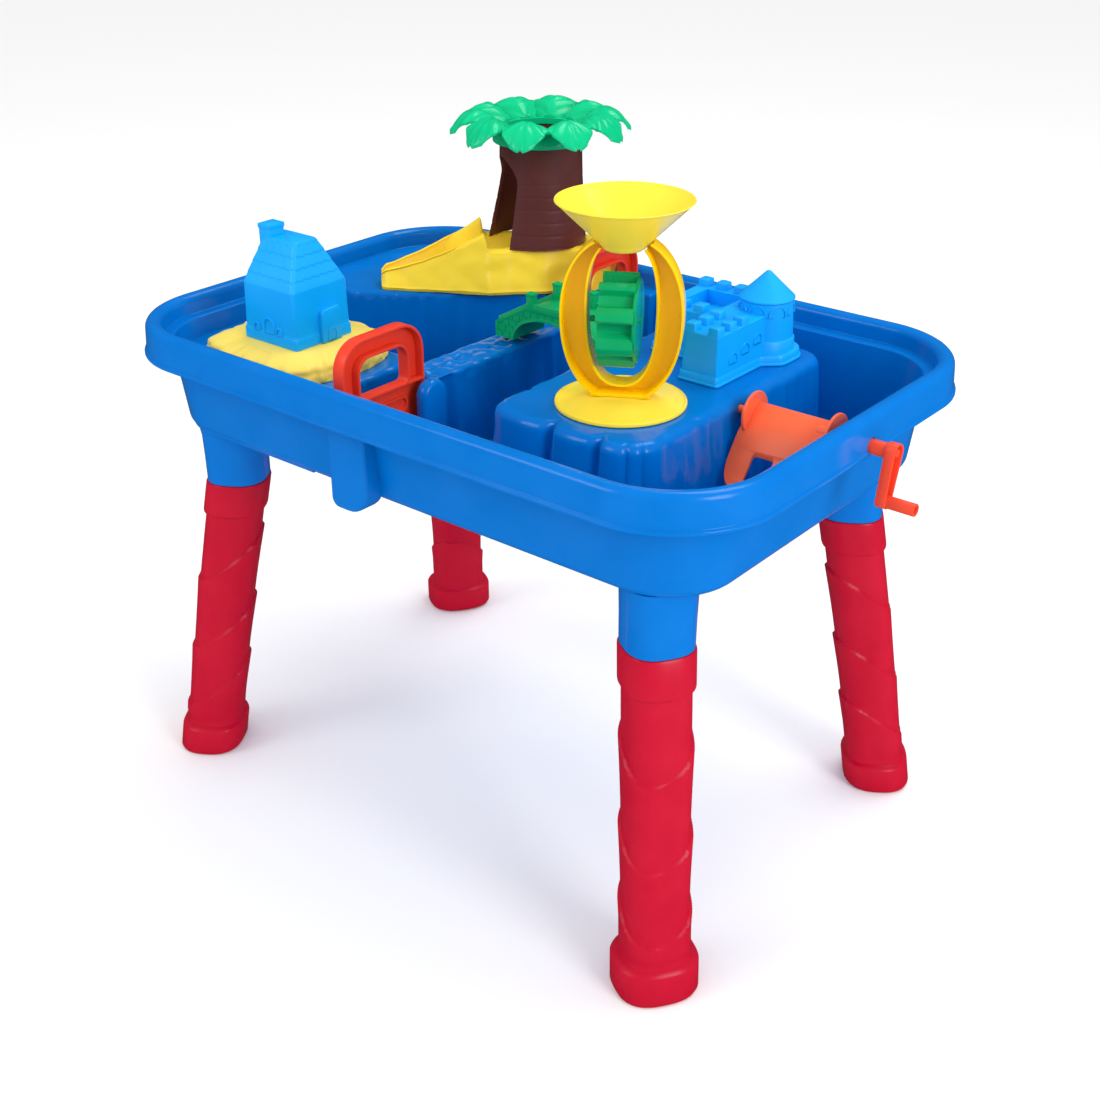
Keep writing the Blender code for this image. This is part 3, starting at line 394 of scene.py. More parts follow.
def inside_wall(x, y, z):
    """Keep a point inside the middle of the basin's wall at its height."""
    radius = RIM_RADIUS - 0.0176 - 0.0102 * min(max((0.4450 - z) / 0.0765, 0.0), 1.2)
    core = Vector((max(min(x, RIM_HALF_X - RIM_RADIUS), RIM_RADIUS - RIM_HALF_X),
                   max(min(y, RIM_HALF_Y - RIM_RADIUS), RIM_RADIUS - RIM_HALF_Y)))
    spoke = Vector((x, y)) - core
    if spoke.length > radius:
        spoke *= radius / spoke.length
    return (core.x + spoke.x, core.y + spoke.y, z)


def rock(bm, corners, top, push, shoulder=0.006, spacing=0.0022, walled=False, crest=None):
    """A block of moulded rock: push moves each point of its side outward by height, and its top is
    closed by rings that step inward."""
    walk = trace(fillet(corners, 10), spacing)
    levels = [(UNDER_Z + 0.001 + (top - shoulder - UNDER_Z - 0.001) * k / 26, 0.0) for k in range(27)]
    levels += [(top - shoulder + shoulder * sin(pi * k / 16), shoulder * (cos(pi * k / 16) - 1))
               for k in range(1, 9)]
    levels += [(top, -shoulder - 0.0015), (top, -shoulder - 0.0035)]
    rings = []
    for z, offset in levels:
        ring = []
        for x, y, nx, ny in walk:
            out = offset + push(x, y, nx, ny, z)
            px, py = x + nx * out, y + ny * out
            ring.append(inside_wall(px, py, z) if walled else (px, py, z))
        rings.append(ring)
    if crest:
        rings.pop()
        rings += crest(rings[-1])
    skin(bm, rings)


def groove(value, middle, width):
    return exp(-((value - middle) / width) ** 2)


# The island: lobes with deep grooves in front, shallow flutes on its other sides.
def island_push(x, y, nx, ny, z):
    low = smooth_step(0.452, 0.380, z)
    out = 0.005 * smooth_step(0.446, 0.366, z)
    if ny < -0.55:
        out -= 0.0085 * groove(x, 0.1240 - 0.06 * (0.445 - z), 0.0040)
        out -= 0.0070 * groove(x, 0.1725 - 0.04 * (0.445 - z), 0.0036)
        out -= 0.0034 * (groove(x, 0.1995, 0.0020) + groove(x, 0.2105, 0.0022))
        out += 0.0020 * sin((x - 0.124) / 0.048 * pi) ** 2
    if abs(nx) > 0.5:
        flutes = lumps(y * 1.0, z * 0.18, x, 0.0105)
        out += (0.0020 + 0.0016 * low) * flutes * smooth_step(0.4, 0.8, abs(nx))
        out -= 0.0045 * groove(y, -0.0820, 0.0050) * (nx < 0)
        out += 0.0013 * lumps(y, z, x, 0.030)
    return out


rock(tub, [(0.055, -0.135, 0.026), (0.215, -0.135, 0.034), (0.215, 0.152, 0.024), (0.055, 0.152, 0.024)],
     PLATEAU_Z, island_push, 0.0095)

# The divider between the gates: a plain recess beside each gate, then a fluted rock face.
def divider_push(x, y, nx, ny, z):
    out = 0.003 * smooth_step(0.440, 0.366, z)
    if nx < 0.5:
        return out + (0.0030 * lumps(y, z * 0.2, x, 0.0120) if nx < -0.5 else 0.0)
    reach = abs(y)
    rockface = smooth_step(0.0870, 0.0800, reach)
    ridges = 0.55 * lumps(y, z * 0.20, x, 0.0090) + 0.45 * lumps(y + 0.3, z * 0.35, x, 0.0190)
    chips = 0.0016 * lumps(y, z, x, 0.0110) * smooth_step(0.420, 0.440, z)
    set_back = 0.0080 * (1 - rockface) * smooth_step(0.4440, 0.4380, z)
    return out - set_back + rockface * (0.0046 * ridges + chips)


def divider_crest(edge):
    """Rings that run from the top's edge in to its middle line, over small chips of rock."""
    rings = []
    for share in (0.15, 0.3, 0.45, 0.6, 0.75, 0.9, 0.98):
        ring = []
        for x, y, z in edge:
            px = x + (-0.0435 - x) * share
            py = y + (max(min(y, 0.098), -0.098) - y) * share
            ring.append((px, py, z + 0.0034 * lumps(px, py, 0.7, 0.0100) * sin(pi * 0.5 * min(share * 3, 1))))
        rings.append(ring)
    return rings


rock(tub, [(-0.063, -0.1074, 0.006), (-0.024, -0.1074, 0.006), (-0.024, 0.1074, 0.006),
           (-0.063, 0.1074, 0.006)], 0.4440, divider_push, 0.0040, 0.0016, False, divider_crest)

# A round-headed post stands in front of each gate's inner edge.
POST_HALF = 0.0150
for side in (-1, 1):
    line = [(-POST_HALF, FLOOR_Z - 0.001), (POST_HALF, FLOOR_Z - 0.001)]
    line += [(POST_HALF * cos(pi * k / 20), 0.4300 + POST_HALF * sin(pi * k / 20)) for k in range(21)]
    post = bmesh.new()
    prism(post, [(side * 0.1102 + y, z) for y, z in line], "X", -0.0342, -0.0205)
    soften(post, 0.0052, 50, 5)
    add_to(tub, post)

# The two ledges against the wall, one for the hill and a lower one for the house.
def ledge_push(x, y, nx, ny, z):
    out = 0.004 * smooth_step(0.446, 0.366, z) - 0.0015
    flutes = lumps(x + y, z * 0.15, x - y, 0.0170) * 0.0020
    scallops = 0.0026 * lumps(x * 1.2 + y, x - y, 0.2, 0.0120) * smooth_step(0.010, 0.0, PLATEAU_Z - z)
    return out + flutes + scallops


rock(tub, [(-0.345, 0.012, 0), (-0.246, 0.006, 0.020), (-0.200, 0.036, 0.060), (-0.058, 0.150, 0.016),
           (-0.058, 0.245, 0), (-0.345, 0.245, 0)], PLATEAU_Z, ledge_push, 0.0050, 0.0024, True)
rock(tub, [(-0.345, -0.245, 0), (-0.100, -0.245, 0), (-0.100, -0.050, 0.020), (-0.270, -0.040, 0.030),
           (-0.345, -0.020, 0)], HOUSE_LEDGE_Z, ledge_push, 0.0050, 0.0024, True)
piece("tub_moulding", tub, blue, "table", ["tub"])

# Legs --------------------------------------------------------------------------------------------
# Four hollow crimson polypropylene legs, pushed up onto the stubs. A thick collar meets the tub, three
# chevron steps run round the leg, and a wide band is the foot.

crimson = moulded("crimson_polypropylene", "c0002a", 0.32, 0.92)
LEG_STEPS = (0.201, 0.124, 0.056)


def leg_swell(a, z):
    """Each step flares above a crease that dips towards the inner side of the leg."""
    height = z - 0.022 * (1 - cos(a)) + 0.010 * sin(a)
    fade = 1 - 0.75 * exp(-(a / 0.32) ** 2)
    for step, below in zip(LEG_STEPS, LEG_STEPS[1:] + (0.000,)):
        if below < height <= step:
            share = (height - below) / (step - below)
            return 0.0025 * fade * share ** 1.5 * smooth_step(step + 0.0002, step - 0.0014, height)
    return 0.0


leg_profile = [(0.0280, 1.12, 0.0), (0.0312, 1.12, 0.0012), (0.0326, 1.12, 0.0040), (0.0326, 1.12, 0.0270),
               (0.0318, 1.10, 0.0295), (0.0290, 1.05, 0.0315), (0.0282, 1.03, 0.0360), (0.0278, 1.0, 0.0600),
               (0.0275, 1.0, 0.1000), (0.0273, 1.0, 0.2000), (0.0273, 1.0, 0.2640), (0.0276, 1.0, 0.2695),
               (0.0299, 1.0, 0.2712), (0.0302, 1.0, 0.2730), (0.0302, 1.0, 0.3014), (0.0292, 1.0, 0.3034)]


def leg_section(z):
    for (h0, s0, z0), (h1, s1, z1) in zip(leg_profile, leg_profile[1:]):
        if z0 <= z <= z1:
            t = (z - z0) / (z1 - z0)
            return h0 + (h1 - h0) * t, s0 + (s1 - s0) * t


for name, corner in zip(("leg_front_left", "leg_front_right", "leg_back_left", "leg_back_right"), CORNERS):
    heights = sorted({entry[2] for entry in leg_profile} | {0.036 + 0.0014 * k for k in range(161)})
    turn = 1 if corner[0] * corner[1] > 0 else -1
    leg = bmesh.new()
    rings = []
    for z in heights:
        half, spread = leg_section(z)
        fit = smooth_step(0.034, 0.046, z) * smooth_step(0.262, 0.250, z)
        swell = (lambda a, z, fit=fit: fit * leg_swell(turn * a, z)) if fit else None
        rings.append(leg_ring(leg_centre(z, *corner), half, z, spread, 112, swell))
    top = leg_centre(LEG_TOP_Z, *corner)
    for z in (0.3034, 0.2950):
        rings.append(leg_ring(leg_centre(z, *corner), 0.0254, z, 1.0, 112))
    skin(leg, rings)
    piece(name + "_moulding", leg, crimson, "table", [name])

# Sluice gates ------------------------------------------------------------------------------------
# Two red-orange polypropylene gates that drop into the slots. Each is a thin panel with a deep flange
# round its edge, a finger hole with its own flange, a bar across and a looped rib to grip.

gate_orange = moulded("red_orange_gates", "e93f28", 0.34, 0.94)
GATE_INNER, GATE_OUTER, GATE_LOW, GATE_TOP, GATE_BAR = 0.1085, 0.2050, 0.3660, 0.4980, 0.4440


def gate_outline(side, inset, low, high, radius, low_radius):
    points = fillet([(GATE_INNER + inset, low, low_radius), (GATE_OUTER - inset, low, low_radius),
                     (GATE_OUTER - inset, high, radius), (GATE_INNER + inset, high, radius)], 8)
    return points if side > 0 else [(-y, z) for y, z in reversed(points)]


def collar(outer, inner, axis, low, high):
    """A closed band between two outlines with equal counts, along an axis."""
    bm = bmesh.new()
    skin(bm, [swept(outer, axis, low), swept(outer, axis, high), swept(inner, axis, high),
              swept(inner, axis, low)], True)
    return bm


for name, side, body in (("gate_front", -1, "front_gate"), ("gate_back", 1, "back_gate")):
    x0, x1 = GATE_X - 0.006, GATE_X + 0.006
    gate = bmesh.new()
    edge = gate_outline(side, 0.0, GATE_LOW, GATE_TOP, 0.0260, 0.0030)
    edge_in = gate_outline(side, 0.0026, GATE_LOW + 0.0026, GATE_TOP - 0.0026, 0.0234, 0.0010)
    hole = gate_outline(side, 0.0200, GATE_BAR + 0.0016, GATE_TOP - 0.0180, 0.0120, 0.0045)
    hole_out = gate_outline(side, 0.0176, GATE_BAR - 0.0012, GATE_TOP - 0.0156, 0.0144, 0.0069)
    grip = gate_outline(side, 0.0160, GATE_BAR - 0.0275, GATE_BAR - 0.0125, 0.0074, 0.0074)
    grip_in = gate_outline(side, 0.0182, GATE_BAR - 0.0253, GATE_BAR - 0.0147, 0.0052, 0.0052)
    for part in (collar(edge, edge_in, "X", x0, x1), collar(hole_out, hole, "X", x0, x1),
                 collar(grip, grip_in, "X", x0 + 0.001, x0 + 0.0068),
                 collar(gate_outline(side, 0.0010, GATE_LOW + 0.001, GATE_TOP - 0.001, 0.0250, 0.0020),
                        gate_outline(side, 0.0190, GATE_BAR + 0.0006, GATE_TOP - 0.0170, 0.0130, 0.0050),
                        "X", x0 + 0.0012, x0 + 0.0040)):
        soften(part, 0.0006, 40)
        add_to(gate, part)
    near, far = sorted((side * (GATE_INNER + 0.001), side * (GATE_OUTER - 0.001)))
    bar = bmesh.new()
    block(bar, (x0 + 0.0008, near, GATE_BAR - 0.0014), (x1 - 0.0002, far, GATE_BAR + 0.0014))
    soften(bar, 0.0005, 40)
    add_to(gate, bar)
    piece(name + "_moulding", gate, gate_orange, body, [name])

# Sand mound --------------------------------------------------------------------------------------
# The yellow plastic mound under the house: a thin hollow moulding with pleated, lumpy sides.

sand_yellow = moulded("sand_yellow_plastic", "fbe064", 0.34, 0.95)
MOUND, HOUSE, HOUSE_SEAT_Z = (-0.193, -0.114), (-0.190, -0.115), 0.451
mound_low, mound_top = HOUSE_LEDGE_Z + 0.0003, HOUSE_SEAT_Z
mound = bmesh.new()
rings = []
for k in range(23):
    t = k / 22
    out = 0.985 - 0.24 * smooth_step(0.30, 1.0, t) ** 1.6 + 0.020 * sin(pi * min(t / 0.3, 1.0))
    ring = []
    for j in range(360):
        a = 2 * pi * j / 360
        c, s = cos(a), sin(a)
        reach = (abs(c) ** 3.2 + abs(s) ** 3.2) ** (-1 / 3.2)
        wave = 0.020 * (sin(5 * a + 0.6) + 0.6 * sin(8 * a + 2.0)) * (1 - 0.5 * t)
        pleats = 0.050 * lumps(c, s, 0.05 * t, 0.115) + 0.035 * lumps(c, s, t, 0.26)
        pleats *= smooth_step(0.0, 0.10, t) * smooth_step(1.0, 0.80, t)
        reach *= out + wave + pleats
        z = mound_low + (mound_top - mound_low) * (1 - (1 - t) ** 1.7)
        ring.append((MOUND[0] + 0.0765 * reach * c, MOUND[1] + 0.0695 * reach * s, z))
    rings.append(ring)
skin(mound, rings)
piece("mound_moulding", mound, sand_yellow, "mound", ["house_base"])

# House mould -------------------------------------------------------------------------------------
# A light blue hollow sand mould shaped as a house: plinth, plain walls with arch reliefs, a steep roof
# with faint rows of round tiles, a chimney and a gabled porch.

sky_blue = moulded("light_blue_plastic", "08a6fa", 0.30, 0.95)
house_low, eaves, ridge_z = HOUSE_SEAT_Z + 0.0003, 0.5030, 0.5420
house = bmesh.new()
rings = []
heights = [house_low, house_low + 0.0090, house_low + 0.0100, house_low + 0.0110]
heights += [house_low + 0.011 + (eaves - house_low - 0.012) * k / 8 for k in range(1, 9)]
heights += [eaves + (ridge_z - eaves) * k / 60 for k in range(61)] + [ridge_z + 0.0008]
for z in heights:
    wide = smooth_step(house_low + 0.0108, house_low + 0.0092, z) * 0.0009
    if z <= eaves:
        share = (z - house_low) / (eaves - house_low)
        half_x, half_y, mid = 0.0343 - 0.0009 * share + wide, 0.0338 - 0.0009 * share + wide, HOUSE
    else:
        share = min((z - eaves) / (ridge_z - eaves), 1.0)
        half_x, half_y = 0.0336 - 0.0121 * share, 0.0331 - 0.0196 * share
        mid = (HOUSE[0] - 0.003 * share, HOUSE[1] + 0.001 * share)
    if z > ridge_z:
        half_x, half_y = half_x - 0.0008, half_y - 0.0008
    ring = []
    for x, y, nx, ny in trace(rounded_rect(half_x, half_y, 0.0025, 6, mid), 0.0008):
        out = 0.0
        if eaves < z < ridge_z - 0.0010:
            along = x if abs(ny) > abs(nx) else y
            row = (z - eaves) / 0.0095 + 0.16 * (1 - abs(sin(pi * along / 0.0095)))
            out = 0.0007 * (1 - (row - floor(row))) * smooth_step(0.0, 0.12, row - floor(row))
            out *= smooth_step(0.0, 0.9, row)
        ring.append((x + nx * out, y + ny * out, z))
    rings.append(ring)
count = min(len(ring) for ring in rings)
rings = [[ring[round(k * len(ring) / count) % len(ring)] for k in range(count)] for ring in rings]
skin(house, rings)


def arch(width, height, count=14):
    """The outline of a doorway with a round head, standing on v = 0."""
    head = [(width * cos(pi * k / count), height - width + width * sin(pi * k / count))
            for k in range(count + 1)]
    return [(-width, 0.0), (width, 0.0)] + head[:]


def relief(outer, inner, axis, low, high, middle, foot):
    """A raised arch band on a wall, standing at (middle, foot)."""
    shift = [[(middle + u, foot + v) for u, v in outline] for outline in (outer, inner)]
    part = collar(*shift, axis, low, high)
    soften(part, 0.0004, 40)
    return part


front = HOUSE[1] - 0.0340
for middle, width, height in ((-0.0005, 0.0078, 0.0150), (-0.0175, 0.0046, 0.0080), (0.0125, 0.0046, 0.0080)):
    foot = house_low + 0.0095
    add_to(house, relief(arch(width, height), arch(width - 0.0016, height - 0.0016), "Y",
                         front - 0.0008, front + 0.0020, HOUSE[0] + middle, foot))
x1 = HOUSE[0] + 0.0300
porch = bmesh.new()
gable = [(HOUSE[1] - 0.0050, house_low), (HOUSE[1] + 0.0190, house_low), (HOUSE[1] + 0.0190, 0.4790),
         (HOUSE[1] + 0.0160, 0.4835), (HOUSE[1] - 0.0030, 0.4820), (HOUSE[1] - 0.0050, 0.4790)]
prism(porch, gable, "X", x1, x1 + 0.0086)
soften(porch, 0.0010, 25, 3)
add_to(house, porch)
add_to(house, relief(arch(0.0058, 0.0125), arch(0.0042, 0.0109), "X", x1 + 0.0080, x1 + 0.0093,
                     HOUSE[1] + 0.0070, house_low + 0.0010))
chimney = bmesh.new()
block(chimney, (HOUSE[0] - 0.0300, HOUSE[1] - 0.0118, 0.5180), (HOUSE[0] - 0.0150, HOUSE[1] + 0.0058, 0.5500))
soften(chimney, 0.0010, 40)
add_to(house, chimney)
cap = bmesh.new()
block(cap, (HOUSE[0] - 0.0306, HOUSE[1] - 0.0124, 0.5488), (HOUSE[0] - 0.0144, HOUSE[1] + 0.0064, 0.5532))
soften(cap, 0.0009, 40)
add_to(house, cap)
piece("house_moulding", house, sky_blue, "house", ["house_mould"])

# Hill with the slide -----------------------------------------------------------------------------
# A thin yellow moulding: lumpy banks on either side of a smooth chute that runs down from the trunk.

TRUNK, TRUNK_Z, TRUNK_TOP_Z, SLIDE_TURN = (-0.123, 0.157), 0.492, 0.598, radians(225)


def slide_point(u, v, z):
    """u runs down the slide from the trunk's axis, v runs across it."""
    c, s = cos(SLIDE_TURN), sin(SLIDE_TURN)
    return (TRUNK[0] + c * u - s * v, TRUNK[1] + s * u + c * v, z)


hill_low, hill_flat = PLATEAU_Z + 0.0003, TRUNK_Z - 0.0003
hill_table = [(-0.100, 0.049, hill_flat - 0.004, hill_flat - 0.004), (-0.046, 0.049, hill_flat, hill_flat),
              (-0.030, 0.049, hill_flat, 0.481), (0.0565, 0.049, hill_flat, 0.478),
              (0.0595, 0.047, 0.508, 0.477), (0.085, 0.039, 0.494, 0.471), (0.120, 0.030, 0.479, 0.464),
              (0.150, 0.022, 0.470, 0.461), (0.158, 0.020, 0.468, 0.4600), (0.163, 0.015, 0.463, 0.4580)]


def hill_at(u):
    for (u0, *low), (u1, *high) in zip(hill_table, hill_table[1:]):
        if u <= u1:
            return [a + (b - a) * (u - u0) / (u1 - u0) for a, b in zip(low, high)]


hill = bmesh.new()
rings = []
spots = [-0.100 + 0.0025 * k for k in range(63)] + [0.0570, 0.0580, 0.0585, 0.0590] \
    + [0.0575 + 0.0025 * k for k in range(1, 43)]
for u in sorted({round(u, 5) for u in spots if u <= 0.163}):
    half, ridge, chute = hill_at(u)
    half += 0.0030 * lumps(u, 0.0, 0.3, 0.018) * smooth_step(-0.05, 0.03, abs(u))
    bed = min(0.0235, half - 0.012)
    side = [(half, hill_low), (half + 0.0012, hill_low + 0.0030)]
    for k in range(1, 19):
        t = k / 18
        bank = half - 0.010 * t ** 1.5 - 0.0015 * sin(pi * t)
        side.append((bank, hill_low + 0.0030 + (ridge - hill_low - 0.0050) * t))
    lip = half - 0.0125
    for k in range(1, 7):
        side.append((half - 0.010 - 0.0028 * sin(pi * k / 12), ridge - 0.0020 * cos(pi * k / 12)))
    for k in range(1, 13):
        t = k / 12
        side.append((lip + (bed + 0.003 - lip) * t, ridge + 0.0008 * sin(pi * t)))
    for k in range(1, 9):
        t = k / 8
        side.append((bed + 0.003 - 0.007 * t, ridge + (min(chute, ridge) - ridge) * smooth_step(0, 1, t)))
    for k in range(1, 5):
        side.append(((bed - 0.004) * (1 - k / 4.5), min(chute, ridge)))
    ring = []
    for sign, row in ((1, side), (-1, side[::-1])):
        for v, z in row:
            x, y, z = slide_point(u, sign * v, z)
            rough = smooth_step(bed - 0.002, bed + 0.006, abs(v)) * smooth_step(hill_low, hill_low + 0.006, z)
            rough *= 1.0 - 0.75 * smooth_step(0.060, 0.050, u) * smooth_step(0.480, 0.488, z)
            x += 0.0018 * rough * lumps(x, y, z, 0.016)
            y += 0.0018 * rough * lumps(y, z, x, 0.016)
            low_u = smooth_step(0.050, 0.064, u)
            z += rough * low_u * 0.0018 * lumps(x, y, z + 0.5, 0.016)
            ring.append((min(max(x, -0.2995), -0.0565), min(max(y, 0.0005), 0.2015), max(z, hill_low)))
    rings.append(ring)
skin(hill, rings)
piece("hill_moulding", hill, moulded("sand_yellow_hill", "ffdc38", 0.32, 0.95), "slide_hill",
      ["hill"])

# Palm trunk --------------------------------------------------------------------------------------
# A hollow brown tapered tube with a round-headed doorway onto the slide and faint rings of bark.

brown = moulded("brown_plastic", "60302c", 0.34, 0.88)


def trunk_size(z):
    share = (z - TRUNK_Z) / (TRUNK_TOP_Z - TRUNK_Z)
    radius = 0.0405 + 0.0048 * (1 - share) ** 1.6
    lead = 0.010 * max(1 - share * 1.55, 0.0)
    return radius, lead


trunk = bmesh.new()
rings = []
for k in range(107):
    z = TRUNK_Z + 0.001 * k
    radius, lead = trunk_size(min(z, TRUNK_TOP_Z))
    ring = []
    for j, (u, v) in enumerate(circle(radius, 160)):
        wander = 0.0016 * lumps(u, v, z * 0.3, 0.020)
        bark = -0.00035 * groove((z + wander) % 0.0125, 0.0062, 0.0008) * smooth_step(0.575, 0.545, z)
        bark += 0.0004 * lumps(u, v, z, 0.030)
        scale = (radius + bark) / radius
        ring.append(slide_point(u * scale * (1 + lead / radius if u > 0 else 1), v * scale,
                                min(z, TRUNK_TOP_Z - 0.0001)))
    rings.append(ring)
for k in range(22):
    z = TRUNK_TOP_Z - 0.0001 - (TRUNK_TOP_Z - 0.0001 - TRUNK_Z) * k / 21
    radius, lead = trunk_size(z)
    rings.append([slide_point(u * (1 + lead / radius if u > 0 else 1), v, z)
                  for u, v in circle(radius - 0.0026, 160)])
skin(trunk, rings, True)
doorway = bmesh.new()
DOOR_HALF, DOOR_SPRING_Z, DOOR_TURN = 0.0262, 0.5520, radians(13)
doorway_line = [(-DOOR_HALF, TRUNK_Z - 0.003), (DOOR_HALF, TRUNK_Z - 0.003)]
doorway_line += [(DOOR_HALF * cos(pi * k / 24), DOOR_SPRING_Z + DOOR_HALF * sin(pi * k / 24))
                 for k in range(25)]
c, s = cos(DOOR_TURN), sin(DOOR_TURN)
skin(doorway, [[slide_point(c * u - s * v, s * u + c * v, z) for v, z in doorway_line]
               for u in (0.006, 0.080)])
trunk = carved(trunk, doorway)
piece("trunk_moulding", trunk, brown, "trunk", ["palm_trunk"])

# Leaf crown --------------------------------------------------------------------------------------
# One green moulding: a collar that drops over the trunk and ten broad pleated leaves that arch out.

leaf_green = moulded("leaf_green_plastic", "06c184", 0.20, 0.88)
crown = bmesh.new()
skin(crown, [at_z(circle(radius, 96, TRUNK), z)
             for radius, z in ((0.0470, 0.5915), (0.0474, 0.5920), (0.0474, 0.5935), (0.0458, 0.6010),
                               (0.0425, 0.6045), (0.0390, 0.6052), (0.0372, 0.6045), (0.0370, 0.5990),
                               (0.0408, 0.5984), (0.0420, 0.5915))], True)
for k in range(10):
    turn = Matrix.Rotation(radians(9 + 36 * k), 4, 'Z')
    tilt = 0.0015 * sin(2.4 * k)
    leaf = bmesh.new()
    bmesh.ops.create_grid(leaf, x_segments=40, y_segments=24, size=0.5)
    for vert in leaf.verts:
        t, s = vert.co.x + 0.5, 2 * vert.co.y
        half = 0.0208 * sin(pi * (0.17 + 0.80 * t)) ** 0.8
        half *= 1 + 0.13 * abs(sin(3.5 * pi * t + 0.4)) * smooth_step(0.15, 0.4, t)
        reach = 0.0385 + 0.0505 * t + 0.0060 * abs(s) * sin(pi * t)
        rise = 0.0060 + 0.0200 * sin(pi * min(t * 0.82 + 0.06, 1.0)) ** 0.9 - 0.0100 * t ** 2.4
        ribs = abs(sin(pi * (3.5 * t - 1.1 * abs(s)) + 0.4)) ** 0.7
        pleat = -0.0072 * abs(s) ** 1.6 * min(half / 0.012, 1.0)
        pleat -= 0.0018 * (1 - ribs) * smooth_step(0.0, 0.25, abs(s))
        crease = -0.0012 * groove(s, 0.0, 0.09)
        vert.co = turn @ Vector((reach, half * s, rise + pleat + crease + tilt * t))
        vert.co += Vector((TRUNK[0], TRUNK[1], TRUNK_TOP_Z))
    bmesh.ops.solidify(leaf, geom=leaf.faces[:] + leaf.edges[:] + leaf.verts[:], thickness=0.0022)
    add_to(crown, leaf)
piece("crown_moulding", crown, leaf_green, "crown", ["palm_crown"], 50)

# Wheel stand -------------------------------------------------------------------------------------
# A pale yellow disc with a low dome; a spigot under it drops into a hole in the island.

STAND, STAND_TURN, STAND_TOP_Z = (0.1425, -0.061), radians(30), 0.4583
pale_yellow = moulded("pale_yellow_plastic", "fbdf45", 0.20, 0.96)


def turned(bm, profile, centre, steps=96):
    """Spin a profile of (radius, z) points, ends on the axis or joined, round an upright axis."""
    verts = [bm.verts.new((centre[0] + radius, centre[1], z)) for radius, z in profile]
    edges = [bm.edges.new(pair) for pair in zip(verts, verts[1:])]
    bmesh.ops.spin(bm, geom=verts + edges, cent=(*centre, 0.0), axis=(0, 0, 1), dvec=(0, 0, 0),
                   angle=2 * pi, steps=steps, use_merge=True, use_duplicate=False)
    bmesh.ops.remove_doubles(bm, verts=bm.verts, dist=1e-6)


disc_z = PLATEAU_Z + 0.0003
stand = bmesh.new()
section = [(0.0, disc_z - 0.0026), (0.0135, disc_z - 0.0026), (0.0155, disc_z - 0.0018), (0.0155, disc_z),
           (0.0540, disc_z), (0.0549, disc_z + 0.0006), (0.0551, disc_z + 0.0020),
           (0.0546, disc_z + 0.0032), (0.0536, disc_z + 0.0036), (0.0526, disc_z + 0.0030)]
section += [(0.0520 * (1 - k / 14) + 0.0180 * k / 14, disc_z + 0.0031 + 0.0046 * smooth_step(0, 1, k / 14))
            for k in range(15)]
section += [(0.0150, STAND_TOP_Z), (0.0, STAND_TOP_Z)]
turned(stand, section, STAND, 128)
piece("stand_moulding", stand, pale_yellow, "stand", ["stand_base"])

# Wheel frame -------------------------------------------------------------------------------------
# A golden egg-shaped ring of open channel section, its flanges thin and bright. Its two limbs end
# against the funnel's cone, and its foot stands on the disc.

golden = moulded("golden_yellow_plastic", "ffd000", 0.26, 0.97)
FUNNEL_Z, FUNNEL_RADIUS, FUNNEL_NECK, FUNNEL_DEPTH, WHEEL_Z = 0.6205, 0.0555, 0.0180, 0.0390, 0.5220
ON_STAND = Matrix.Translation((*STAND, 0.0)) @ Matrix.Rotation(STAND_TURN, 4, 'Z')


def oval(half_u, bottom, top, power, count=160):
    """An egg-shaped outline (u, z), a little narrower at its foot; a higher power is squarer."""
    middle, half_z = (bottom + top) / 2, (top - bottom) / 2
    points = []
    for k in range(count):
        a = 2 * pi * k / count
        reach = (abs(cos(a)) ** power + abs(sin(a)) ** power) ** (-1 / power)
        width = half_u * (1 + 0.03 * reach * sin(a))
        points.append((width * reach * cos(a), middle + half_z * reach * sin(a)))
    return points


def in_plane(outline, depth):
    """An outline in the frame's own plane, at a depth in front of it or behind it."""
    return [ON_STAND @ Vector((u, depth, z)) for u, z in outline]


def funnel_cone(margin, bottom):
    """The space the funnel's cone fills, grown by a margin, over a plain round shaft."""
    cone = bmesh.new()
    skin(cone, [at_z(circle(radius + margin, 64, STAND), z)
                for radius, z in ((FUNNEL_NECK, bottom), (FUNNEL_NECK, FUNNEL_Z - FUNNEL_DEPTH),
                                  (FUNNEL_RADIUS, FUNNEL_Z))])
    return cone


foot = STAND_TOP_Z + 0.0003
outer, outer_in = oval(0.0500, foot - 0.0050, 0.5935, 2.2), oval(0.0482, foot - 0.0020, 0.5920, 2.2)
inner, inner_out = oval(0.0280, foot + 0.0110, 0.5890, 2.5), oval(0.0298, foot + 0.0092, 0.5905, 2.5)
ring = bmesh.new()
skin(ring, [in_plane(outer, 0.0097), in_plane(outer, -0.0095), in_plane(outer_in, -0.0100),
            in_plane(outer_in, 0.0066), in_plane(inner_out, 0.0066), in_plane(inner_out, -0.0095),
            in_plane(inner, -0.0090), in_plane(inner, 0.0097)], True)
bmesh.ops.recalc_face_normals(ring, faces=ring.faces)
below = bmesh.new()
block(below, (STAND[0] - 0.06, STAND[1] - 0.06, foot - 0.02), (STAND[0] + 0.06, STAND[1] + 0.06, foot))
ring = carved(carved(ring, below), funnel_cone(0.0004, 0.5450))
soften(ring, 0.0005, 50)
flare = bmesh.new()
skin(flare, [in_plane(fillet([(-0.0250, foot, 0), (0.0250, foot, 0), (0.0220, foot + 0.0030, 0.001),
                              (-0.0220, foot + 0.0030, 0.001)]), depth) for depth in (-0.0095, 0.0097)])
soften(flare, 0.0006, 50)
add_to(ring, flare)
piece("frame_moulding", ring, golden, "frame", ["wheel_frame"], 32)

# Water wheel -------------------------------------------------------------------------------------
# A green wheel with eight scoops that end in rounded lips, a side disc and a stub axle at each side.

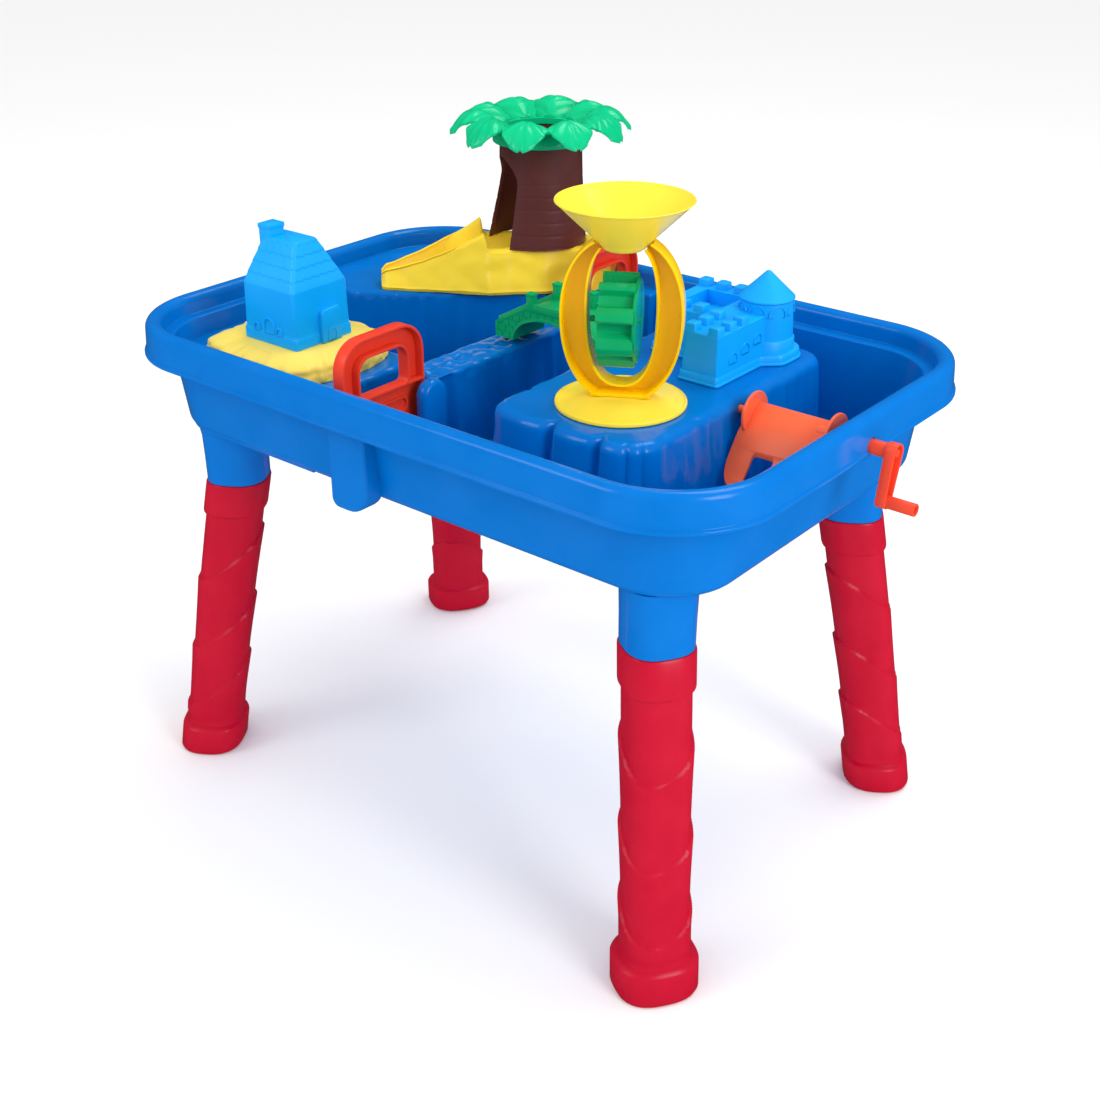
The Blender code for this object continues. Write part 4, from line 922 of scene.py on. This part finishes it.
green = moulded("green_plastic", "04a562", 0.24, 0.90)
lobes = []
for k in range(8):
    start = 2 * pi * k / 8
    for reach, turn, radius in ((0.0262, 0.10, 0.0020), (0.0330, 0.22, 0.0060), (0.0375, 0.46, 0.0050),
                                (0.0383, 0.66, 0.0014), (0.0358, 0.72, 0.0012), (0.0285, 0.70, 0.0020)):
        a = start + turn * 2 * pi / 8
        lobes.append((reach * cos(a), WHEEL_Z + reach * sin(a), radius * 0.6))
lobes = fillet(lobes, 3)


def on_axle(outline, w):
    """An outline across the wheel's axle, at a distance along it."""
    return [ON_STAND @ Vector((w, u, z)) for u, z in outline]


wheel = bmesh.new()
skin(wheel, [on_axle(lobes, -0.0175), on_axle(lobes, 0.0120)])
soften(wheel, 0.0005, 60)
side_disc = bmesh.new()
skin(side_disc, [on_axle(circle(radius, 64, (0.0, WHEEL_Z)), w)
                 for radius, w in ((0.0335, 0.0110), (0.0340, 0.0116), (0.0340, 0.0134), (0.0334, 0.0140))])
add_to(wheel, side_disc)
axle = bmesh.new()
skin(axle, [on_axle(circle(radius, 32, (0.0, WHEEL_Z)), w)
            for radius, w in ((0.0020, -0.0265), (0.0026, -0.0260), (0.0026, 0.0150), (0.0020, 0.0155))])
add_to(wheel, axle)
piece("wheel_moulding", wheel, green, "wheel", ["water_wheel"], 34)

# Funnel ------------------------------------------------------------------------------------------
# A thin pale yellow cone with a rolled edge and a round-bottomed neck with a small outlet.

funnel = bmesh.new()
neck = FUNNEL_Z - FUNNEL_DEPTH
section = [(0.0062, neck - 0.0015), (0.0120, neck - 0.0014), (0.0155, neck - 0.0006), (0.0178, neck + 0.0010),
           (0.0190, neck + 0.0030)]
section += [(0.0190 + (FUNNEL_RADIUS - 0.0197) * k / 12, neck + 0.0030 + (FUNNEL_DEPTH - 0.0042) * k / 12)
            for k in range(1, 13)]
section += [(FUNNEL_RADIUS, FUNNEL_Z - 0.0008), (FUNNEL_RADIUS - 0.0002, FUNNEL_Z - 0.0002),
            (FUNNEL_RADIUS - 0.0009, FUNNEL_Z), (FUNNEL_RADIUS - 0.0016, FUNNEL_Z - 0.0003)]
section += [(FUNNEL_RADIUS - 0.0020 + (0.0172 - FUNNEL_RADIUS + 0.0020) * k / 12,
             FUNNEL_Z - 0.0010 + (neck + 0.0038 - FUNNEL_Z + 0.0010) * k / 12) for k in range(13)]
section += [(0.0145, neck + 0.0018), (0.0062, neck + 0.0010), (0.0062, neck - 0.0015)]
turned(funnel, section, STAND, 128)
piece("funnel_moulding", funnel, pale_yellow, "pouring_funnel", ["funnel"], 45)

# Castle mould ------------------------------------------------------------------------------------
# A light blue hollow sand mould: a lipped plinth, two wings with round-shouldered merlons, arch reliefs
# on the long outer wall, and a round tower with a pointed roof over scalloped arches.

castle = bmesh.new()
low = PLATEAU_Z + 0.0003
plinth = [(0.146, 0.013, 0.004), (0.188, 0.013, 0.004), (0.188, 0.082, 0.002), (0.203, 0.096, 0.012),
          (0.203, 0.137, 0.022), (0.170, 0.141, 0.006), (0.086, 0.141, 0.004), (0.086, 0.056, 0.004),
          (0.146, 0.056, 0.002)]
plinth_line = trace(fillet(plinth, 8), 0.0012)
skin(castle, [[(x + nx * out, y + ny * out, z) for x, y, nx, ny in plinth_line]
              for out, z in ((-0.0008, low), (0.0, low + 0.0006),
                             (0.0, low + 0.0020), (-0.0010, low + 0.0028),
                             (-0.0014, low + 0.0072), (-0.0019, low + 0.0082), (-0.0028, low + 0.0087))])


def castle_wall(inset):
    x0, x1, x2 = 0.0885 + inset, 0.1485 + inset, 0.1860 - inset
    y0, y1, y2 = 0.0155 + inset, 0.0585 + inset, 0.1380 - inset
    return [(x1, y0, 0.0022), (x2, y0, 0.0022), (x2, y2, 0.0022), (x0, y2, 0.0022), (x0, y1, 0.0022),
            (x1, y1, 0.0022)]


walls = bmesh.new()
skin(walls, [at_z(fillet(castle_wall(0.0), 6), low + 0.0050), at_z(fillet(castle_wall(0.0006), 6), 0.4700),
             at_z(fillet(castle_wall(0.0014), 6), 0.4935), at_z(fillet(castle_wall(0.0024), 6), 0.4945)])
court = bmesh.new()
block(court, (0.1040, 0.0760, 0.4820), (0.1440, 0.1200, 0.5120))
add_to(castle, carved(walls, court))


def merlon(x, y, half, top):
    bm = bmesh.new()
    skin(bm, [at_z(rounded_rect(half - inset, half - inset, 0.0014, 4, (x, y)), z)
              for inset, z in ((-0.0002, 0.4900), (0.0, top - 0.0010), (0.0003, top - 0.0004),
                               (0.0010, top))])
    return bm


for x in (0.1556, 0.1790):
    for y in (0.0225, 0.0410, 0.0595):
        add_to(castle, merlon(x, y, 0.0052, 0.5012))
for x in (0.0960, 0.1150, 0.1340):
    for y in (0.0660, 0.1300):
        add_to(castle, merlon(x, y, 0.0054, 0.5012))
TOWER = (0.1725, 0.1110)
turned_tower = bmesh.new()
turned(turned_tower, [(0.0, low + 0.004), (0.0262, low + 0.004),
                      (0.0260, low + 0.0180), (0.0252, low + 0.0192),
                      (0.0246, low + 0.0200), (0.0236, 0.4970), (0.0234, 0.5030), (0.0240, 0.5036),
                      (0.0246, 0.5042), (0.0244, 0.5052), (0.0165, 0.5128), (0.0080, 0.5212),
                      (0.0030, 0.5262), (0.0018, 0.5273), (0.0, 0.5278)], TOWER, 96)
add_to(castle, turned_tower)
for k in range(8):
    a = 2 * pi * k / 8 + 0.2
    scallop = relief(arch(0.0084, 0.0105, 14), arch(0.0068, 0.0089, 14), "Y", 0.0002, 0.0042, 0.0, 0.0)
    bmesh.ops.transform(scallop, verts=scallop.verts,
                        matrix=Matrix.Translation((TOWER[0], TOWER[1], 0.4915)) @ Matrix.Rotation(a, 4, 'Z')
                        @ Matrix.Translation((0.0, -0.0239, 0.0)))
    add_to(castle, scallop)
for middle, foot_z, width, height in ((0.0400, low + 0.0150, 0.0068, 0.0100),
                                      (0.0590, low + 0.0185, 0.0068, 0.0100),
                                      (0.0780, low + 0.0220, 0.0068, 0.0100)):
    add_to(castle, relief(arch(width, height, 14), arch(width - 0.0013, height - 0.0013, 14), "X",
                          0.1835, 0.1862, middle, foot_z))
piece("castle_moulding", castle, sky_blue, "castle", ["castle_mould"], 34)

# Bridge ------------------------------------------------------------------------------------------
# A green arched toy bridge with sloped parapets on posts, a raised arch band and courses of bricks.

x0, x1, y0, y1 = -0.0480, 0.0760, -0.0010, 0.0440
middle = (x0 + x1) / 2
deck = [(x0, low), (x0 + 0.0220, low)]
deck += [(middle - 0.0400 * cos(pi * k / 32), low + 0.0001 + 0.0240 * sin(pi * k / 32)) for k in range(33)]
deck += [(x1 - 0.0220, low), (x1, low), (x1, low + 0.0140), (middle + 0.0230, low + 0.0330),
         (middle - 0.0230, low + 0.0330), (x0, low + 0.0140)]
bridge = bmesh.new()
prism(bridge, deck, "Y", y0 + 0.0005, y1 - 0.0005)
joints = bmesh.new()
for row in range(5):
    course = low + 0.0062 * (row + 1)
    for y in (y0, y1):
        block(joints, (x0 - 0.001, y - 0.0010, course - 0.0004), (x1 + 0.001, y + 0.0010, course + 0.0004))
    for column in range(16):
        x = x0 + 0.0085 * (column + 0.5 * (row % 2))
        for y in (y0, y1):
            block(joints, (x - 0.0004, y - 0.0011, course - 0.0062),
                  (x + 0.0004, y + 0.0009, course + 0.0001))
bridge = carved(bridge, joints, messy=True)
for y in (y0 + 0.0003, y1 - 0.0033):
    rail = [(x0 + 0.004, low + 0.0120), (middle - 0.0240, low + 0.0310), (middle + 0.0240, low + 0.0310),
            (x1 - 0.004, low + 0.0120), (x1 - 0.004, low + 0.0190), (middle + 0.0230, low + 0.0385),
            (middle - 0.0230, low + 0.0385), (x0 + 0.004, low + 0.0190)]
    parapet = bmesh.new()
    prism(parapet, rail, "Y", y, y + 0.0030)
    soften(parapet, 0.0006, 25)
    add_to(bridge, parapet)
for y in (y0, y1 - 0.0013):
    sweep = [k / 32 for k in range(33)]
    band = [(middle - 0.0400 * cos(pi * t), low + 0.0001 + 0.0240 * sin(pi * t)) for t in sweep]
    band += [(middle + 0.0428 * cos(pi * t), low + 0.0001 + 0.0272 * sin(pi * t)) for t in sweep]
    hoop = bmesh.new()
    prism(hoop, band, "Y", y, y + 0.0013)
    soften(hoop, 0.0003, 50)
    add_to(bridge, hoop)
for x in (middle - 0.0205, middle + 0.0205):
    for y in (y0 - 0.0001, y1 - 0.0074):
        post = bmesh.new()
        block(post, (x - 0.0036, y, low + 0.0300), (x + 0.0036, y + 0.0075, low + 0.0460))
        block(post, (x - 0.0042, y - 0.0004, low + 0.0450), (x + 0.0042, y + 0.0079, low + 0.0478))
        soften(post, 0.0007, 40)
        add_to(bridge, post)
piece("bridge_moulding", bridge, green, "toy_bridge", ["bridge"], 34)

# Wave paddle -------------------------------------------------------------------------------------
# An orange moulding: two end discs on a short pin and a socket, joined by a creased blade that has two
# windows and a round-cornered side; the near disc has two ribs.

orange = moulded("red_orange_paddle", "fb6a42", 0.34, 0.94)
x0, x1 = 0.2270, 0.3060


def disc(x, thick, radius):
    bm = bmesh.new()
    skin(bm, [swept(circle(r, 64, (AXLE_Y, AXLE_Z)), "X", w)
              for r, w in ((radius - 0.0005, x), (radius, x + 0.0005), (radius, x + thick - 0.0005),
                           (radius - 0.0005, x + thick))])
    return bm


paddle = bmesh.new()
blade = bmesh.new()
edge = []
for s, lift in [(k / 40, 0.0) for k in range(41)] + [(k / 40, 0.0024) for k in range(40, -1, -1)]:
    wave = 0.004 * sin(2 * pi * s)
    edge.append((AXLE_Y + 0.006 - 0.052 * s - 0.76 * lift, AXLE_Z + 0.008 - 0.060 * s + wave + 0.65 * lift))
prism(blade, edge, "X", x0 - 0.0050, x1 - 0.001)
windows = bmesh.new()
for near, far in ((0.2440, 0.2640), (0.2690, 0.2890)):
    prism(windows, fillet([(near, -0.0300, 0.003), (far, -0.0300, 0.003), (far, -0.0130, 0.003),
                           (near, -0.0130, 0.003)], 6), "Z", 0.372, 0.442)
corner = [(x0 - 0.008, -0.060), (x0 + 0.014, -0.060)]
corner += [(x0 + 0.014 - 0.0185 * sin(pi * k / 32), -0.0175 - 0.0185 * cos(pi * k / 32)) for k in range(17)]
corner += [(x0 - 0.0035, -0.0060), (x0 + 0.001, 0.0060), (x0 + 0.001, 0.0300), (x0 - 0.008, 0.0300)]
prism(windows, corner, "Z", 0.360, 0.470)
blade = carved(blade, windows)
soften(blade, 0.0005, 45)
add_to(paddle, blade)
for part in (disc(x0, 0.0026, 0.0190), disc(x1 - 0.0026, 0.0026, 0.0190), disc(0.2095, 0.0180, 0.0036),
             disc(x1 - 0.0165, 0.0160, 0.0062)):
    add_to(paddle, part)
for turn in (-0.16, 0.16):
    rib = bmesh.new()
    block(rib, (x0 - 0.0010, -0.0009, 0.0030), (x0 + 0.0005, 0.0009, 0.0178))
    soften(rib, 0.0004, 40)
    bmesh.ops.transform(rib, verts=rib.verts, matrix=Matrix.Translation((0.0, AXLE_Y, AXLE_Z))
                        @ Matrix.Rotation(turn, 4, 'X'))
    add_to(paddle, rib)
piece("paddle_moulding", paddle, orange, "paddle_drive", ["wave_paddle"], 34)

# Crank -------------------------------------------------------------------------------------------
# A red-orange crank outside the rim: a shaft with a boss, a channelled arm and a hollow round grip.

CRANK_AXIS = Matrix.Translation((0.0, AXLE_Y, AXLE_Z)) @ Matrix.Rotation(radians(-14), 4, 'X')
ARM = 0.0395


def crank_part(outline, low_x, high_x, soft=0.0006):
    bm = bmesh.new()
    prism(bm, outline, "X", low_x, high_x)
    soften(bm, soft, 40)
    bmesh.ops.transform(bm, verts=bm.verts, matrix=CRANK_AXIS)
    return bm


def capsule(top, bottom, shift=0.0, count=16):
    """An arm outline: a half circle at the axle and a smaller one at the grip."""
    return [(top * cos(pi * k / count), top * sin(pi * k / count)) for k in range(count + 1)] \
        + [(bottom * cos(pi + pi * k / count), shift - ARM + bottom * sin(pi + pi * k / count))
           for k in range(count + 1)]


def bored(radius, hole, middle, low_x, high_x):
    bm = collar(circle(radius, 32, (0.0, middle)), circle(hole, 32, (0.0, middle)), "X", low_x, high_x)
    soften(bm, 0.0005, 40)
    bmesh.ops.transform(bm, verts=bm.verts, matrix=CRANK_AXIS)
    return bm


crank = bmesh.new()
add_to(crank, crank_part(capsule(0.0078, 0.0060), 0.3520, 0.3552))
arm_rim = collar(capsule(0.0080, 0.0062), capsule(0.0062, 0.0044, 0.0), "X", 0.3520, 0.3610)
soften(arm_rim, 0.0005, 40)
bmesh.ops.transform(arm_rim, verts=arm_rim.verts, matrix=CRANK_AXIS)
add_to(crank, arm_rim)
add_to(crank, crank_part(circle(0.0062, 40), 0.3150, 0.3535))
add_to(crank, crank_part(circle(0.0036, 32), 0.2925, 0.3160))
add_to(crank, crank_part(circle(0.0034, 32), 0.3540, 0.3600))
add_to(crank, bored(0.0053, 0.0036, -ARM, 0.3560, 0.3850))
add_to(crank, crank_part(circle(0.0040, 32, (0.0, -ARM)), 0.3540, 0.3600, 0.0003))
piece("crank_moulding", crank, moulded("red_orange_crank", "ef4a2e", 0.34, 0.94), "paddle_drive",
      ["crank"], 34)
